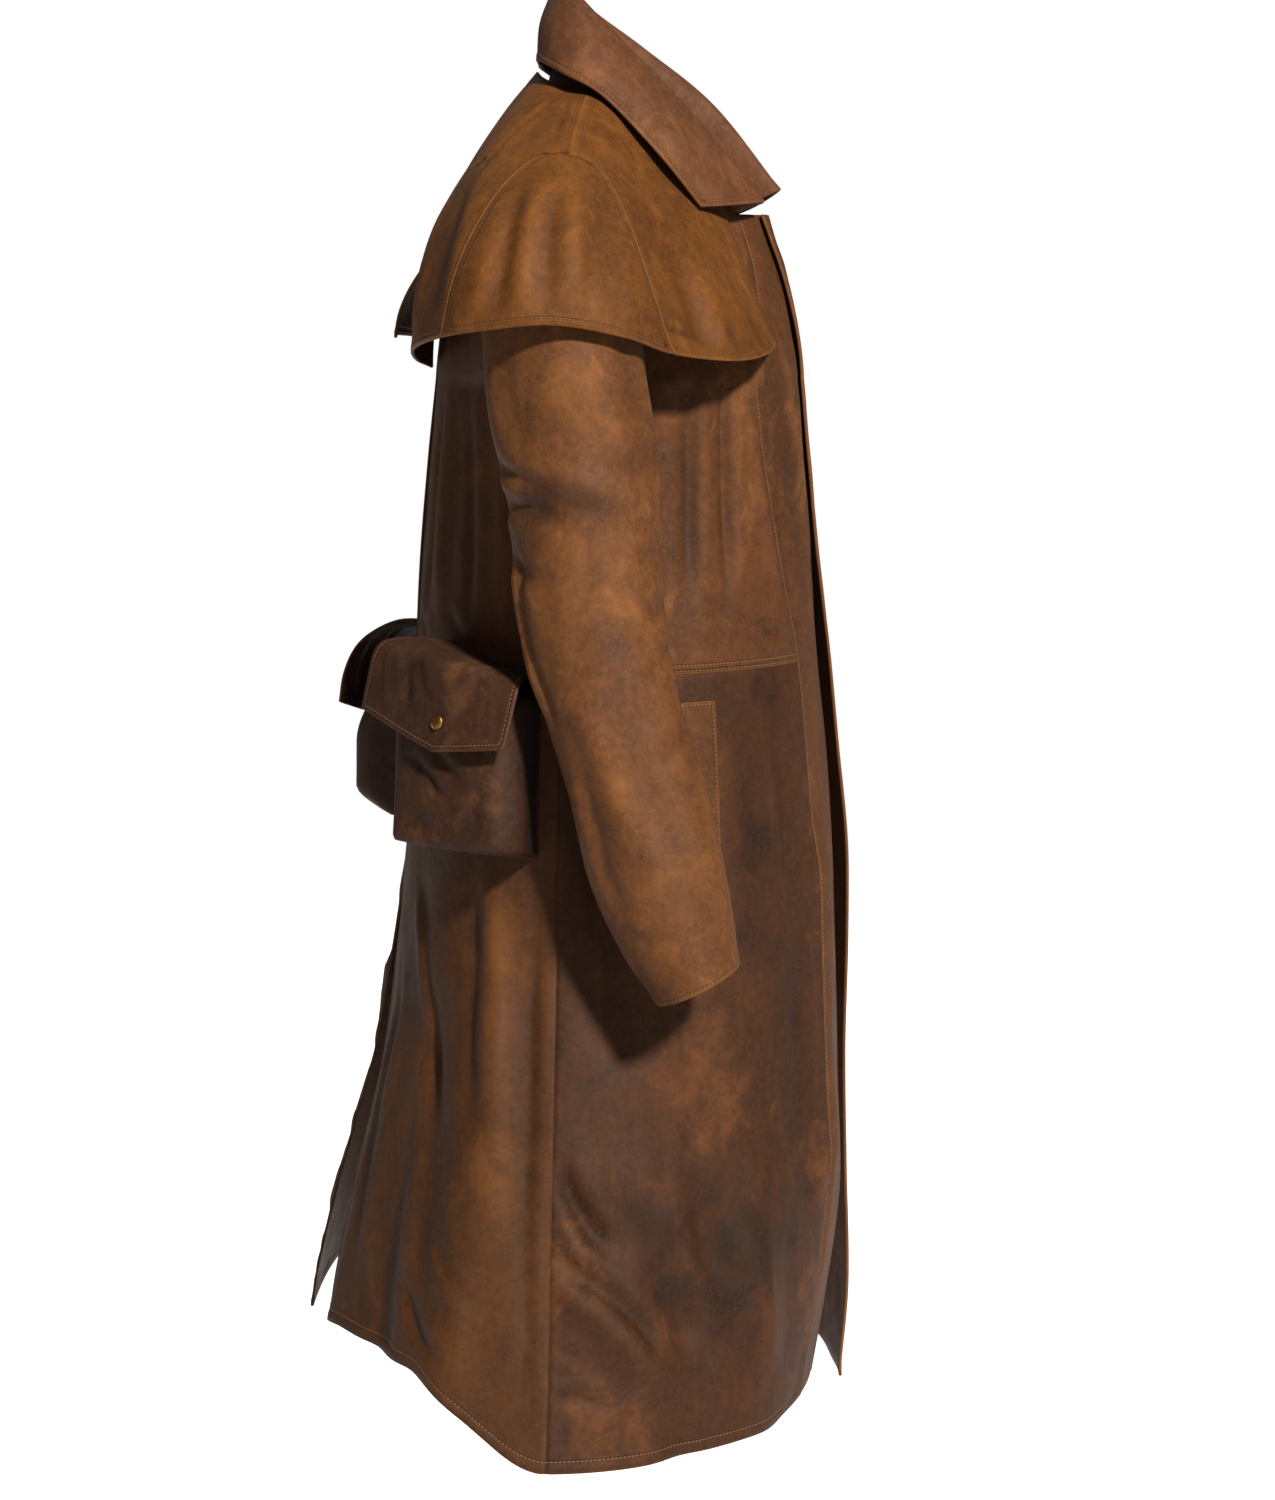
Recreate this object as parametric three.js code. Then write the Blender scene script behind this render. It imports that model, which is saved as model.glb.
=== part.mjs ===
// A long leather duster coat as it hangs when it is worn: a shoulder cape with a slit at the back, a large
// turned-down collar, two-piece sleeves, a waist seam in front, a back vent and two bellows pockets on the
// hips. Millimetres, +Z up, the front towards -Y and the wearer's right towards -X. The origin is between
// the shoulders, at the height of the neck seam. Heights below it are called drops and count downwards.
import * as THREE from "three";

// Driving sizes
const WALL = 2; // the leather, with the turned layer at its edges
const CAPE_WALL = 2;
const SEAM = 0.3; // between two pieces that are sewn edge to edge
const CHEST = 235; // drop of the underarm
const WAIST = 458; // drop of the waist seam
const HEM = 1062; // drop of the hem at the sides
const HEM_RISE = 64; // how much higher the hem is behind
const HEM_DIP = 20; // and how much lower again at the vent
const CORNER_DIP = 15; // how much lower the left front hangs at its edge
const THROAT_STRIP = 46; // where the front strip's seam meets the neckline, out from the centre
const YOKE_START = -160; // the front's centre line at the underarm
const LAP = 2.8; // half the distance between the two fronts where they lap
const LAP_REACH = 45; // how far from its edge a front starts to part for the lap
const SHOULDER_TIP = 197; // from the centre to the sleeve seam
const TIP_DROP = 58;
const UNDERARM = 185;
const CHEST_CUT = 14; // how far the armhole cuts in at mid height
const ARM_FRONT = 40; // how far the armhole reaches forward, and back
const ARM_BACK = 60;
const NECK_SIDE = 76; // half the neck opening
const THROAT = 0.66; // how far up the yoke the neck opens in front, as a share
const NAPE = 0.9; // and behind

const LEATHER = { color: 0x6b4428, roughness: 0.72, metalness: 0 };
const DARK_LEATHER = { color: 0x4a3024, roughness: 0.74, metalness: 0 };
const CAPE_LEATHER = { color: 0x7a5028, roughness: 0.68, metalness: 0 };
const COLLAR_LEATHER = { color: 0x6b4a38, roughness: 0.7, metalness: 0 };
const BRASS = { color: 0x8a6a2c, roughness: 0.38, metalness: 1 };

// Sections of the body below the underarm: how far its outline lies from the centre at each drop. front
// and back are at the centre line of that side, side is where the side seam lies, half is half the width,
// edge is where the front edge lies, strip where the front strip's seam lies, vent where the back edge lies.
const SECTIONS = {
  right: [
    { drop: 235, front: -160, side: 22, back: 134, half: 185, edge: -12, strip: 116, vent: 8 },
    { drop: 300, front: -166, side: 24, back: 141, half: 186, edge: -12, strip: 112, vent: 14 },
    { drop: 380, front: -173, side: 27, back: 148, half: 193, edge: -10, strip: 104, vent: 20 },
    { drop: 458, front: -178, side: 30, back: 153, half: 206, edge: 6, strip: 92, vent: 22 },
    { drop: 540, front: -186, side: 32, back: 156, half: 217, edge: 14, strip: 95, vent: 22 },
    { drop: 620, front: -191, side: 33, back: 162, half: 226, edge: 20, strip: 96, vent: 22 },
    { drop: 700, front: -193, side: 34, back: 171, half: 236, edge: 24, strip: 98, vent: 22 },
    { drop: 800, front: -195, side: 36, back: 185, half: 252, edge: 28, strip: 100, vent: 22 },
    { drop: 900, front: -198, side: 38, back: 208, half: 270, edge: 30, strip: 102, vent: 22 },
    { drop: 1000, front: -186, side: 40, back: 229, half: 288, edge: 32, strip: 104, vent: 22 },
    { drop: 1065, front: -175, side: 42, back: 233, half: 298, edge: 34, strip: 106, vent: 22 },
  ],
  left: [
    { drop: 235, front: -160, side: 22, back: 136, half: 185, edge: -12, strip: 116, vent: -8 },
    { drop: 300, front: -166, side: 24, back: 143, half: 186, edge: -12, strip: 112, vent: -14 },
    { drop: 380, front: -174, side: 27, back: 150, half: 193, edge: -10, strip: 104, vent: -20 },
    { drop: 458, front: -184, side: 30, back: 154, half: 206, edge: 0, strip: 92, vent: -22 },
    { drop: 540, front: -193, side: 32, back: 158, half: 217, edge: 8, strip: 95, vent: -22 },
    { drop: 620, front: -202, side: 33, back: 161, half: 226, edge: 14, strip: 96, vent: -21 },
    { drop: 700, front: -204, side: 34, back: 175, half: 236, edge: 18, strip: 98, vent: -14 },
    { drop: 800, front: -203, side: 36, back: 193, half: 252, edge: 22, strip: 100, vent: -8 },
    { drop: 900, front: -205, side: 38, back: 222, half: 270, edge: 22, strip: 102, vent: -5 },
    { drop: 1000, front: -205, side: 40, back: 246, half: 288, edge: 8, strip: 104, vent: -4 },
    { drop: 1065, front: -198, side: 42, back: 249, half: 298, edge: -12, strip: 106, vent: -4 },
  ],
};

// The centre lines of the yoke, from the underarm level (rise 0) to the shoulder seams (rise 1). Above the
// neck opening they carry on over it, and the panels are cut back to the neckline.
const YOKE = {
  front: [
    { rise: 0, out: YOKE_START, up: -235 },
    { rise: 0.3, out: -154, up: -182 },
    { rise: 0.55, out: -141, up: -128 },
    { rise: 0.75, out: -118, up: -76 },
    { rise: 0.9, out: -62, up: -18 },
    { rise: 1, out: -11, up: 28 },
  ],
  back: [
    { rise: 0, out: 134, up: -235 },
    { rise: 0.25, out: 128, up: -180 },
    { rise: 0.5, out: 113, up: -118 },
    { rise: 0.7, out: 90, up: -62 },
    { rise: 0.85, out: 60, up: -12 },
    { rise: 0.9, out: 46, up: 6 },
    { rise: 1, out: -11, up: 28 },
  ],
};

// Rings of a sleeve from the armhole to the cuff. Each has its outermost and innermost point, how far it
// reaches forward and back, and how much higher its front is than its middle.
const SLEEVE = [
  { ring: 0, outX: 198, outZ: -58, inX: 186, inZ: -235, front: -14, back: 86, tilt: 0 },
  { ring: 1, outX: 232, outZ: -74, inX: 190, inZ: -243, front: -20, back: 87, tilt: 0 },
  { ring: 2, outX: 263, outZ: -104, inX: 192, inZ: -250, front: -26, back: 88, tilt: 0 },
  { ring: 3, outX: 283, outZ: -150, inX: 194, inZ: -258, front: -31, back: 87, tilt: 0 },
  { ring: 4, outX: 293, outZ: -205, inX: 196, inZ: -270, front: -36, back: 84, tilt: 0 },
  { ring: 5, outX: 300, outZ: -262, inX: 200, inZ: -290, front: -41, back: 78, tilt: 0 },
  { ring: 6, outX: 306, outZ: -323, inX: 207, inZ: -330, front: -46, back: 67, tilt: 0 },
  { ring: 7, outX: 313, outZ: -395, inX: 216, inZ: -397, front: -48, back: 61, tilt: 2 },
  { ring: 8, outX: 320, outZ: -460, inX: 226, inZ: -460, front: -56, back: 45, tilt: 5 },
  { ring: 9, outX: 327, outZ: -535, inX: 236, inZ: -535, front: -77, back: 21, tilt: 10 },
  { ring: 10, outX: 331, outZ: -595, inX: 244, inZ: -595, front: -91, back: 5, tilt: 13 },
  { ring: 11, outX: 332, outZ: -642, inX: 248, inZ: -642, front: -99, back: -18, tilt: 15 },
  { ring: 12, outX: 332, outZ: -680, inX: 250, inZ: -680, front: -104, back: -44, tilt: 15 },
];
const UPPER_SLEEVE = [-97, 105]; // degrees round the ring, from the outermost point forward
const UNDER_SLEEVE = [105, 263];

// The collar from the centre back (along 0) to its front end (along 1): roll line and outer edge. Its neck
// seam follows the neckline.
const COLLAR = {
  right: [
    { along: 0, rollX: 0, rollY: 31, rollZ: 88, edgeX: 0, edgeY: 51, edgeZ: 20 },
    { along: 0.2, rollX: 40, rollY: 26, rollZ: 80, edgeX: 62, edgeY: 49, edgeZ: 18 },
    { along: 0.4, rollX: 67, rollY: 11, rollZ: 61, edgeX: 104, edgeY: 29, edgeZ: 5 },
    { along: 0.6, rollX: 74, rollY: -20, rollZ: 29, edgeX: 126, edgeY: -2, edgeZ: -14 },
    { along: 0.8, rollX: 66, rollY: -74, rollZ: -26, edgeX: 130, edgeY: -44, edgeZ: -57 },
    { along: 1, rollX: 33, rollY: -130, rollZ: -92, edgeX: 116, edgeY: -78, edgeZ: -98 },
  ],
  left: [
    { along: 0, rollX: 0, rollY: 31, rollZ: 88, edgeX: 0, edgeY: 51, edgeZ: 20 },
    { along: 0.2, rollX: 40, rollY: 25, rollZ: 81, edgeX: 62, edgeY: 49, edgeZ: 18 },
    { along: 0.4, rollX: 68, rollY: 4, rollZ: 64, edgeX: 105, edgeY: 26, edgeZ: 6 },
    { along: 0.6, rollX: 77, rollY: -34, rollZ: 37, edgeX: 129, edgeY: -12, edgeZ: -8 },
    { along: 0.8, rollX: 72, rollY: -92, rollZ: -10, edgeX: 134, edgeY: -58, edgeZ: -48 },
    { along: 1, rollX: 40, rollY: -146, rollZ: -80, edgeX: 116, edgeY: -98, edgeZ: -104 },
  ],
};
const COLLAR_INSIDE = 2.7; // how far inside the neckline the stand's wall is sewn
const COLLAR_BELOW = 1.5; // and how far below its edge
const NECK_CENTRE = -50; // the y of the middle of the neck opening
const LEAF_CROWN = 9; // how far the leaf rounds out between its roll and its edge
const STAND_CROWN = 5;

// The shoulder cape from its front edge (turn 0) over the arm to the back slit (turn 1): where its neck
// edge and its hem lie, how round it falls, and how much of its fall is an even slope.
const CAPE = [
  { turn: 0, neckX: 57, neckY: -84.6, neckZ: -69, hemX: 100, hemY: -137, hemZ: -205, round: 1.1, slope: 1 },
  { turn: 0.12, neckX: 71, neckY: -59, neckZ: -45, hemX: 156, hemY: -126, hemZ: -213, round: 1.1, slope: 0.92 },
  { turn: 0.22, neckX: 78, neckY: -34, neckZ: -26, hemX: 208, hemY: -99, hemZ: -216, round: 1, slope: 0.86 },
  { turn: 0.3, neckX: 81, neckY: -17, neckZ: -13, hemX: 246, hemY: -55, hemZ: -211, round: 0.95, slope: 0.64 },
  { turn: 0.38, neckX: 82, neckY: -4, neckZ: -6, hemX: 292, hemY: -20, hemZ: -199, round: 0.9, slope: 0.46 },
  { turn: 0.5, neckX: 81, neckY: 7, neckZ: -3, hemX: 309, hemY: 34, hemZ: -190, round: 0.86, slope: 0.32 },
  { turn: 0.6, neckX: 77, neckY: 20, neckZ: -2, hemX: 296, hemY: 84, hemZ: -194, round: 0.88, slope: 0.32 },
  { turn: 0.68, neckX: 70, neckY: 30, neckZ: 3, hemX: 264, hemY: 116, hemZ: -199, round: 0.9, slope: 0.36 },
  { turn: 0.8, neckX: 51, neckY: 40, neckZ: 10, hemX: 184, hemY: 142, hemZ: -208, round: 0.94, slope: 0.42 },
  { turn: 0.9, neckX: 26, neckY: 45, neckZ: 16, hemX: 92, hemY: 146, hemZ: -218, round: 0.94, slope: 0.42 },
  { turn: 1, neckX: 0.1, neckY: 47, neckZ: 19, hemX: 0.1, hemY: 139, hemZ: -226, round: 0.94, slope: 0.4 },
];
// Where the arm piece starts, and half the width of its top edge
const CAPE_SHOULDER = { turn: 0.49, fall: 0.4, half: 0.03 };
const CAPE_SEAMS = { front: 0.3, back: 0.68 }; // the turns of its two seams at the hem
// The centre back slit: where it starts down the cape and round it, and how far its two edges part at the
// hem. The left one swings out and up.
const SLIT = { fall: 0.48, turn: 0.72, right: 20, left: -6, out: 30, up: 24 };

// Hanging folds of the skirt, as lines from one place to another: around is in degrees from the centre
// front to the centre back, deep is how far a ridge stands out, and a hollow has a minus.
const FOLDS = {
  right: [
    { around: 22, drop: 600, aroundEnd: 20, dropEnd: 860, wide: 26, deep: 7 },
    { around: 47, drop: 830, aroundEnd: 40, dropEnd: 1070, wide: 34, deep: 6 },
    { around: 63, drop: 860, aroundEnd: 60, dropEnd: 1070, wide: 30, deep: -7 },
    { around: 84, drop: 850, aroundEnd: 62, dropEnd: 960, wide: 22, deep: -6 },
    { around: 86, drop: 905, aroundEnd: 58, dropEnd: 1030, wide: 22, deep: 6 },
    { around: 112, drop: 700, aroundEnd: 116, dropEnd: 1070, wide: 38, deep: 8 },
    { around: 134, drop: 720, aroundEnd: 142, dropEnd: 1070, wide: 34, deep: -8 },
    { around: 158, drop: 760, aroundEnd: 160, dropEnd: 1070, wide: 30, deep: 7 },
  ],
  left: [
    { around: 24, drop: 640, aroundEnd: 22, dropEnd: 1070, wide: 32, deep: -6 },
    { around: 44, drop: 760, aroundEnd: 40, dropEnd: 1070, wide: 34, deep: 8 },
    { around: 66, drop: 800, aroundEnd: 64, dropEnd: 1070, wide: 32, deep: -7 },
    { around: 88, drop: 780, aroundEnd: 86, dropEnd: 1070, wide: 36, deep: 8 },
    { around: 114, drop: 740, aroundEnd: 118, dropEnd: 1070, wide: 34, deep: -8 },
    { around: 140, drop: 700, aroundEnd: 144, dropEnd: 1070, wide: 36, deep: 8 },
  ],
};

// The hip pockets: how far round from the centre back they start and end, in degrees, how deep they stand,
// the drops of their bottom and mouth, how much less deep they are at the mouth, as a share, where in the
// lower gusset the bag starts to rise, and how many degrees the flap and the mouth are turned in the panel.
const POCKET_SIDE = {
  right: { from: 44, to: 81, deep: 46, bottom: 590, mouth: 464, lean: 0, sag: 0.9, turned: 9 },
  left: { from: 17, to: 54, deep: 58, bottom: 604, mouth: 474, lean: 0.44, sag: 0.5, turned: 7 },
};
const HIP_DEGREE = 3.6; // millimetres round the hips for each degree
const ON_PANEL = 2.6; // from the middle of a panel's wall to the middle of one that lies on it
const FLAT = 8; // how much further out a pocket's ends stand than its middle, so that it lies flat
// The bag: the share of its width and height in each gusset, where in a side one the face starts, the share
// of its height that is full, how it rounds out, and how far its foot spreads on the panel.
// The flap: the drop of its upper edge, where across it its point is and how deep, how far it stands clear
// of the bag and reaches past its sides, and how far down it has spread.
const BAG = { gusset: 0.24, foot: 0.55, full: 0.4, round: 0.8, flare: 6 };
const FLAP = { top: 447, peak: 0.58, point: 14, clear: 6, overhang: 7, level: 0.4 };
// The flap's run from its upper edge: how far out it stands, as a share of the bag's depth and its
// clearance, and how far below its upper edge it is.
const FLAP_RUN = {
  right: [
    { down: 0, out: 0, below: 0 },
    { down: 0.25, out: 0.48, below: 0 },
    { down: 0.45, out: 0.88, below: 4 },
    { down: 0.58, out: 1.02, below: 14 },
    { down: 0.8, out: 1.08, below: 42 },
    { down: 1, out: 1.12, below: 70 },
  ],
  left: [
    { down: 0, out: 0, below: 0 },
    { down: 0.25, out: 0.34, below: 2 },
    { down: 0.45, out: 0.66, below: 15 },
    { down: 0.6, out: 0.83, below: 32 },
    { down: 0.8, out: 0.94, below: 60 },
    { down: 1, out: 0.97, below: 88 },
  ],
};
const FLAP_SEAM = 1.4; // from the middle of the panel's wall to the flap's upper edge, which stands on it
const SNAP = { radius: 6, thick: 2.6, down: 0.84, off: 0.9 };
const SNAP_SIDES = 20;
const WELT = { top: 480, bottom: 645, from: 56, to: 64.3, lift: 2.4 };

const mix = (a, b, t) => a + (b - a) * t;
const clamp = (t) => Math.min(1, Math.max(0, t));
const ease = (t) => clamp(t) ** 2 * (3 - 2 * clamp(t));
const radians = THREE.MathUtils.degToRad;

// A row between the rows of a table, on a smooth curve through each of its columns.
function between(table, key, at) {
  const last = table.length - 1;
  let i = 0;
  while (i < last - 1 && at > table[i + 1][key]) i++;
  const near = [table[Math.max(i - 1, 0)], table[i], table[i + 1], table[Math.min(i + 2, last)]];
  const span = near[2][key] - near[1][key];
  const t = clamp((at - near[1][key]) / span);
  const row = {};
  for (const name of Object.keys(near[1])) {
    const [a, b, c, d] = near.map((r) => r[name]);
    const slopeB = ((c - a) / Math.max(near[2][key] - near[0][key], 1e-9)) * span;
    const slopeC = ((d - b) / Math.max(near[3][key] - near[1][key], 1e-9)) * span;
    row[name] = (1 + 2 * t) * (1 - t) ** 2 * b + t * (1 - t) ** 2 * slopeB
      + t * t * (3 - 2 * t) * c + t * t * (t - 1) * slopeC;
  }
  return row;
}

// How far the skirt's folds push a point out, at an angle round from the centre front and at a drop.
function foldDepth(side, around, drop, half) {
  const reach = radians(1) * half;
  let out = 0;
  for (const fold of FOLDS[side]) {
    const alongX = (fold.aroundEnd - fold.around) * reach;
    const alongZ = fold.dropEnd - fold.drop;
    const toX = (around - fold.around) * reach;
    const toZ = drop - fold.drop;
    const t = clamp((toX * alongX + toZ * alongZ) / (alongX ** 2 + alongZ ** 2));
    const away = Math.hypot(toX - t * alongX, toZ - t * alongZ) / fold.wide;
    const fade = ease((drop - fold.drop + fold.wide) / (2.5 * fold.wide));
    out += fold.deep * Math.exp(-away * away) * fade;
  }
  return out;
}

// How round the yoke's rows are, from the full curve of the chest to the nearly straight shoulder seam.
const yokeFullness = (rise) => mix(1, 0.1, ease(rise * 1.25));

// The point where the armhole edge lies at a share of the way from the underarm to the shoulder tip.
function armhole(forward, rise) {
  const swell = Math.sin(Math.PI * rise);
  const middle = -(CHEST + TIP_DROP) / 2;
  return {
    x: mix(UNDERARM, SHOULDER_TIP, rise) - CHEST_CUT * swell,
    y: mix(22, 30, rise) + (forward ? -ARM_FRONT : ARM_BACK) * swell,
    z: middle - ((CHEST - TIP_DROP) / 2) * Math.cos(Math.PI * rise),
  };
}

// A point of the body. across runs from the centre line (0) to the side seam or armhole (1), and level is
// a drop below the underarm as a negative number, or the yoke's rise above it from 0 to 1.
function bodyPoint(side, forward, across, level) {
  const sign = side === "right" ? -1 : 1;
  const swing = (across * Math.PI) / 2;
  if (level < 0) {
    const drop = CHEST - level;
    const row = between(SECTIONS[side], "drop", drop);
    const far = forward ? row.front : row.back;
    const degrees = forward ? across * 90 : 180 - across * 90;
    const fold = foldDepth(side, degrees, drop, row.half);
    const y = row.side + (far - row.side) * Math.cos(swing);
    const x = row.half * Math.sin(swing);
    const lean = Math.hypot(x / row.half ** 2, (y - row.side) / (far - row.side) ** 2);
    return new THREE.Vector3(
      sign * (x + (fold * x) / row.half ** 2 / lean),
      y + (fold * (y - row.side)) / (far - row.side) ** 2 / lean + lapShift(side, forward, x),
      -drop,
    );
  }
  const centre = between(YOKE[forward ? "front" : "back"], "rise", level);
  const rim = armhole(forward, level);
  const fullness = yokeFullness(level);
  const meet = 1 - level;
  const start = forward ? YOKE_START : SECTIONS[side][0].back;
  const far = mix(centre.out, start, meet ** 6);
  const x = rim.x * mix(across, Math.sin(swing), fullness);
  const y = rim.y + (far - rim.y) * mix(1 - Math.abs(across), Math.cos(swing), fullness);
  return new THREE.Vector3(sign * x, y + lapShift(side, forward, x), mix(centre.up, rim.z, across));
}

// The left front lies over the right one, so each is shifted a little near the centre line.
function lapShift(side, forward, x) {
  if (!forward) return 0;
  return (side === "left" ? -LAP : LAP) * ease((LAP_REACH - x) / LAP_REACH);
}

// The share across at which a row of the body lies x out from the centre.
function acrossAt(side, x, level) {
  if (level < 0) {
    const row = between(SECTIONS[side], "drop", CHEST - level);
    return Math.asin(x / row.half) / (Math.PI / 2);
  }
  const fullness = yokeFullness(level);
  return x / (armhole(true, level).x * mix(1, Math.PI / 2, fullness));
}

const edgeX = (side, level) => between(SECTIONS[side], "drop", CHEST - Math.min(level, 0)).edge;
const stripX = (side, level) => {
  const row = between(SECTIONS[side], "drop", CHEST - Math.min(level, 0));
  return level < 0 ? row.strip : mix(row.strip, THROAT_STRIP, ease(level / THROAT));
};
const ventX = (side, level) => {
  const row = between(SECTIONS[side], "drop", CHEST - Math.min(level, 0));
  return level < 0 ? row.vent : mix(row.vent, SEAM, level / NAPE);
};

// How far out from the centre the neckline lies at a rise above the throat or the nape.
const neckFront = (start, rise) => mix(start, NECK_SIDE, clamp((rise - THROAT) / (1 - THROAT)) ** 0.8);
const neckBack = (rise) => NECK_SIDE * Math.sqrt(1 - clamp((1 - rise) / (1 - NAPE)) ** 2);

// The rise of the neckline along its way from the centre back (0) over the shoulder seam (0.5) to the
// strip (1).
const neckRise = (along) =>
  along < 0.5 ? 1 - (1 - NAPE) * Math.cos(Math.PI * along) : mix(1, THROAT, 2 * along - 1);

// A point of the neckline, moved towards the neck and down to where the collar's stand is sewn on.
function neckline(along) {
  const rise = neckRise(along);
  const forward = along >= 0.5;
  const x = forward ? neckFront(THROAT_STRIP, rise) : neckBack(rise);
  const point = bodyPoint("right", forward, acrossAt("right", x, rise), rise);
  const inward = new THREE.Vector3(-point.x, NECK_CENTRE - point.y, 0).normalize();
  point.addScaledVector(inward, COLLAR_INSIDE);
  point.z -= COLLAR_BELOW;
  point.x *= -1;
  return point;
}

// A surface point moved out along the surface's own normal.
function lifted(surface, outward, u, v, lift) {
  const step = 1e-3;
  const here = surface(u, v);
  const du = surface(u + step, v).sub(surface(u - step, v));
  const dv = surface(u, v + step).sub(surface(u, v - step));
  const normal = du.cross(dv).normalize();
  return here.addScaledVector(normal, outward * lift);
}

// A wall of cloth: a grid of points on a surface, each moved out and in by half the thickness, closed
// round its rim. Its four edges are drawn in by half a seam gap.
function wall(surface, outward, across, along, thick, inset = SEAM / 2) {
  const points = [];
  const columns = across.length;
  const rows = along.length;
  for (const half of [thick / 2, -thick / 2])
    for (let j = 0; j < rows; j++)
      for (let i = 0; i < columns; i++) points.push(lifted(surface, outward, across[i], along[j], half));
  const draw = (layer, at, next) => {
    const start = layer * rows * columns;
    const a = points[start + at];
    const toward = points[start + next].clone().sub(a);
    a.addScaledVector(toward.normalize(), inset);
  };
  for (const layer of [0, 1]) {
    for (let j = 0; j < rows; j++) {
      draw(layer, j * columns, j * columns + 1);
      draw(layer, j * columns + columns - 1, j * columns + columns - 2);
    }
    for (let i = 0; i < columns; i++) {
      draw(layer, i, columns + i);
      draw(layer, (rows - 1) * columns + i, (rows - 2) * columns + i);
    }
  }
  const index = [];
  const quad = (a, b, c, d) => index.push(a, b, c, a, c, d);
  const inner = rows * columns;
  for (let j = 0; j < rows - 1; j++)
    for (let i = 0; i < columns - 1; i++) {
      const a = j * columns + i;
      quad(a, a + 1, a + columns + 1, a + columns);
      quad(inner + a, inner + a + columns, inner + a + columns + 1, inner + a + 1);
    }
  for (let i = 0; i < columns - 1; i++) {
    const top = (rows - 1) * columns + i;
    quad(i + 1, i, inner + i, inner + i + 1);
    quad(top, top + 1, inner + top + 1, inner + top);
  }
  for (let j = 0; j < rows - 1; j++) {
    const left = j * columns;
    const right = left + columns - 1;
    quad(left, left + columns, inner + left + columns, inner + left);
    quad(right + columns, right, inner + right, inner + right + columns);
  }
  if (outward < 0) index.reverse();
  const geometry = new THREE.BufferGeometry().setFromPoints(points);
  geometry.setIndex(index);
  return geometry;
}

const steps = (from, to, count) => Array.from({ length: count + 1 }, (_, i) => mix(from, to, i / count));

// The hem is level in front but for the left corner, rises behind the side seams and dips at the vent.
function hemLevel(side, forward, across) {
  const dip = side === "left" ? CORNER_DIP * ease((0.3 - across) / 0.3) : 0;
  const rise = HEM_RISE * ease((1 - across) / 0.4) - HEM_DIP * ease((0.3 - across) / 0.3);
  return CHEST - HEM + (forward ? -dip : rise);
}

const coat = new THREE.Group();
function sew(name, geometry, look) {
  const mesh = new THREE.Mesh(geometry, new THREE.MeshStandardMaterial(look));
  mesh.name = name;
  coat.add(mesh);
}

// Levels of the rows that neighbouring panels share, so that their facets meet along each seam.
const WAIST_LEVEL = CHEST - WAIST;
const SKIRT_ROWS = steps(CHEST - HEM, WAIST_LEVEL, 12);
const CHEST_ROWS = steps(WAIST_LEVEL, -1e-6, 4);
const SHOULDER_SEAM = 0.995; // just short of the ridge, so that the two walls clear each other
const NECK_STEPS = 5; // rows from the throat, and from the nape, up to the shoulder seam
const LOW_YOKE_ROWS = [0.11, 0.22, 0.33, 0.44, 0.55];
const neckRows = (from) =>
  steps(from, 0.5, NECK_STEPS).map((along) => Math.min(neckRise(along), SHOULDER_SEAM));
const FRONT_YOKE_ROWS = [...LOW_YOKE_ROWS, ...neckRows(1)];
const BACK_YOKE_ROWS = [...LOW_YOKE_ROWS, THROAT, 0.76, 0.84, ...neckRows(0)];
const PANEL_COLUMNS = steps(0, 1, 11);

// A panel of the body between two shares across, which are functions of the level.
function panelSurface(side, forward, inner, outer) {
  return (u, level) => {
    const across = mix(inner(level), outer(level), u);
    const stretch = level < 0 ? hemLevel(side, forward, across) / (CHEST - HEM) : 1;
    return bodyPoint(side, forward, across, level * stretch);
  };
}

const one = () => 1;
const stripIn = (side) => (level) => acrossAt(side, edgeX(side, level), level);
const stripOut = (side) => (level) => acrossAt(side, stripX(side, level), level);
const neckIn = (side) => (level) => {
  const start = stripX(side, level);
  return acrossAt(side, level > THROAT ? neckFront(start, level) : start, level);
};
const ventIn = (side) => (level) =>
  acrossAt(side, level <= NAPE ? ventX(side, level) : neckBack(level), level);

function sewBody(side, facing) {
  const stripSurface = panelSurface(side, true, stripIn(side), stripOut(side));
  const stripRows = [...SKIRT_ROWS, ...CHEST_ROWS.slice(1), ...LOW_YOKE_ROWS, THROAT];
  sew(`placket_${side}`, wall(stripSurface, facing, steps(0, 1, 5), stripRows, WALL), LEATHER);

  const skirtSurface = panelSurface(side, true, stripOut(side), one);
  sew(`skirt_front_${side}`, wall(skirtSurface, facing, PANEL_COLUMNS, SKIRT_ROWS, WALL), DARK_LEATHER);

  const bodiceSurface = panelSurface(side, true, neckIn(side), one);
  const bodiceRows = [...CHEST_ROWS, ...FRONT_YOKE_ROWS];
  sew(`bodice_front_${side}`, wall(bodiceSurface, facing, PANEL_COLUMNS, bodiceRows, WALL), LEATHER);

  const backSurface = panelSurface(side, false, ventIn(side), one);
  const backRows = [...SKIRT_ROWS, ...CHEST_ROWS.slice(1), ...BACK_YOKE_ROWS];
  sew(`back_${side}`, wall(backSurface, -facing, PANEL_COLUMNS, backRows, WALL), LEATHER);
}

// A point of a sleeve: angle in degrees round the ring, from its outermost point forward.
function sleevePoint(side, angle, ring) {
  const row = between(SLEEVE, "ring", ring);
  const c = Math.cos(radians(angle));
  const s = Math.sin(radians(angle));
  const x = (row.outX + row.inX) / 2 + ((row.outX - row.inX) / 2) * c;
  const z = (row.outZ + row.inZ) / 2 + ((row.outZ - row.inZ) / 2) * c + row.tilt * s;
  const y = (row.front + row.back) / 2 + ((row.front - row.back) / 2) * s;
  return new THREE.Vector3(side === "right" ? -x : x, y, z);
}

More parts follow.
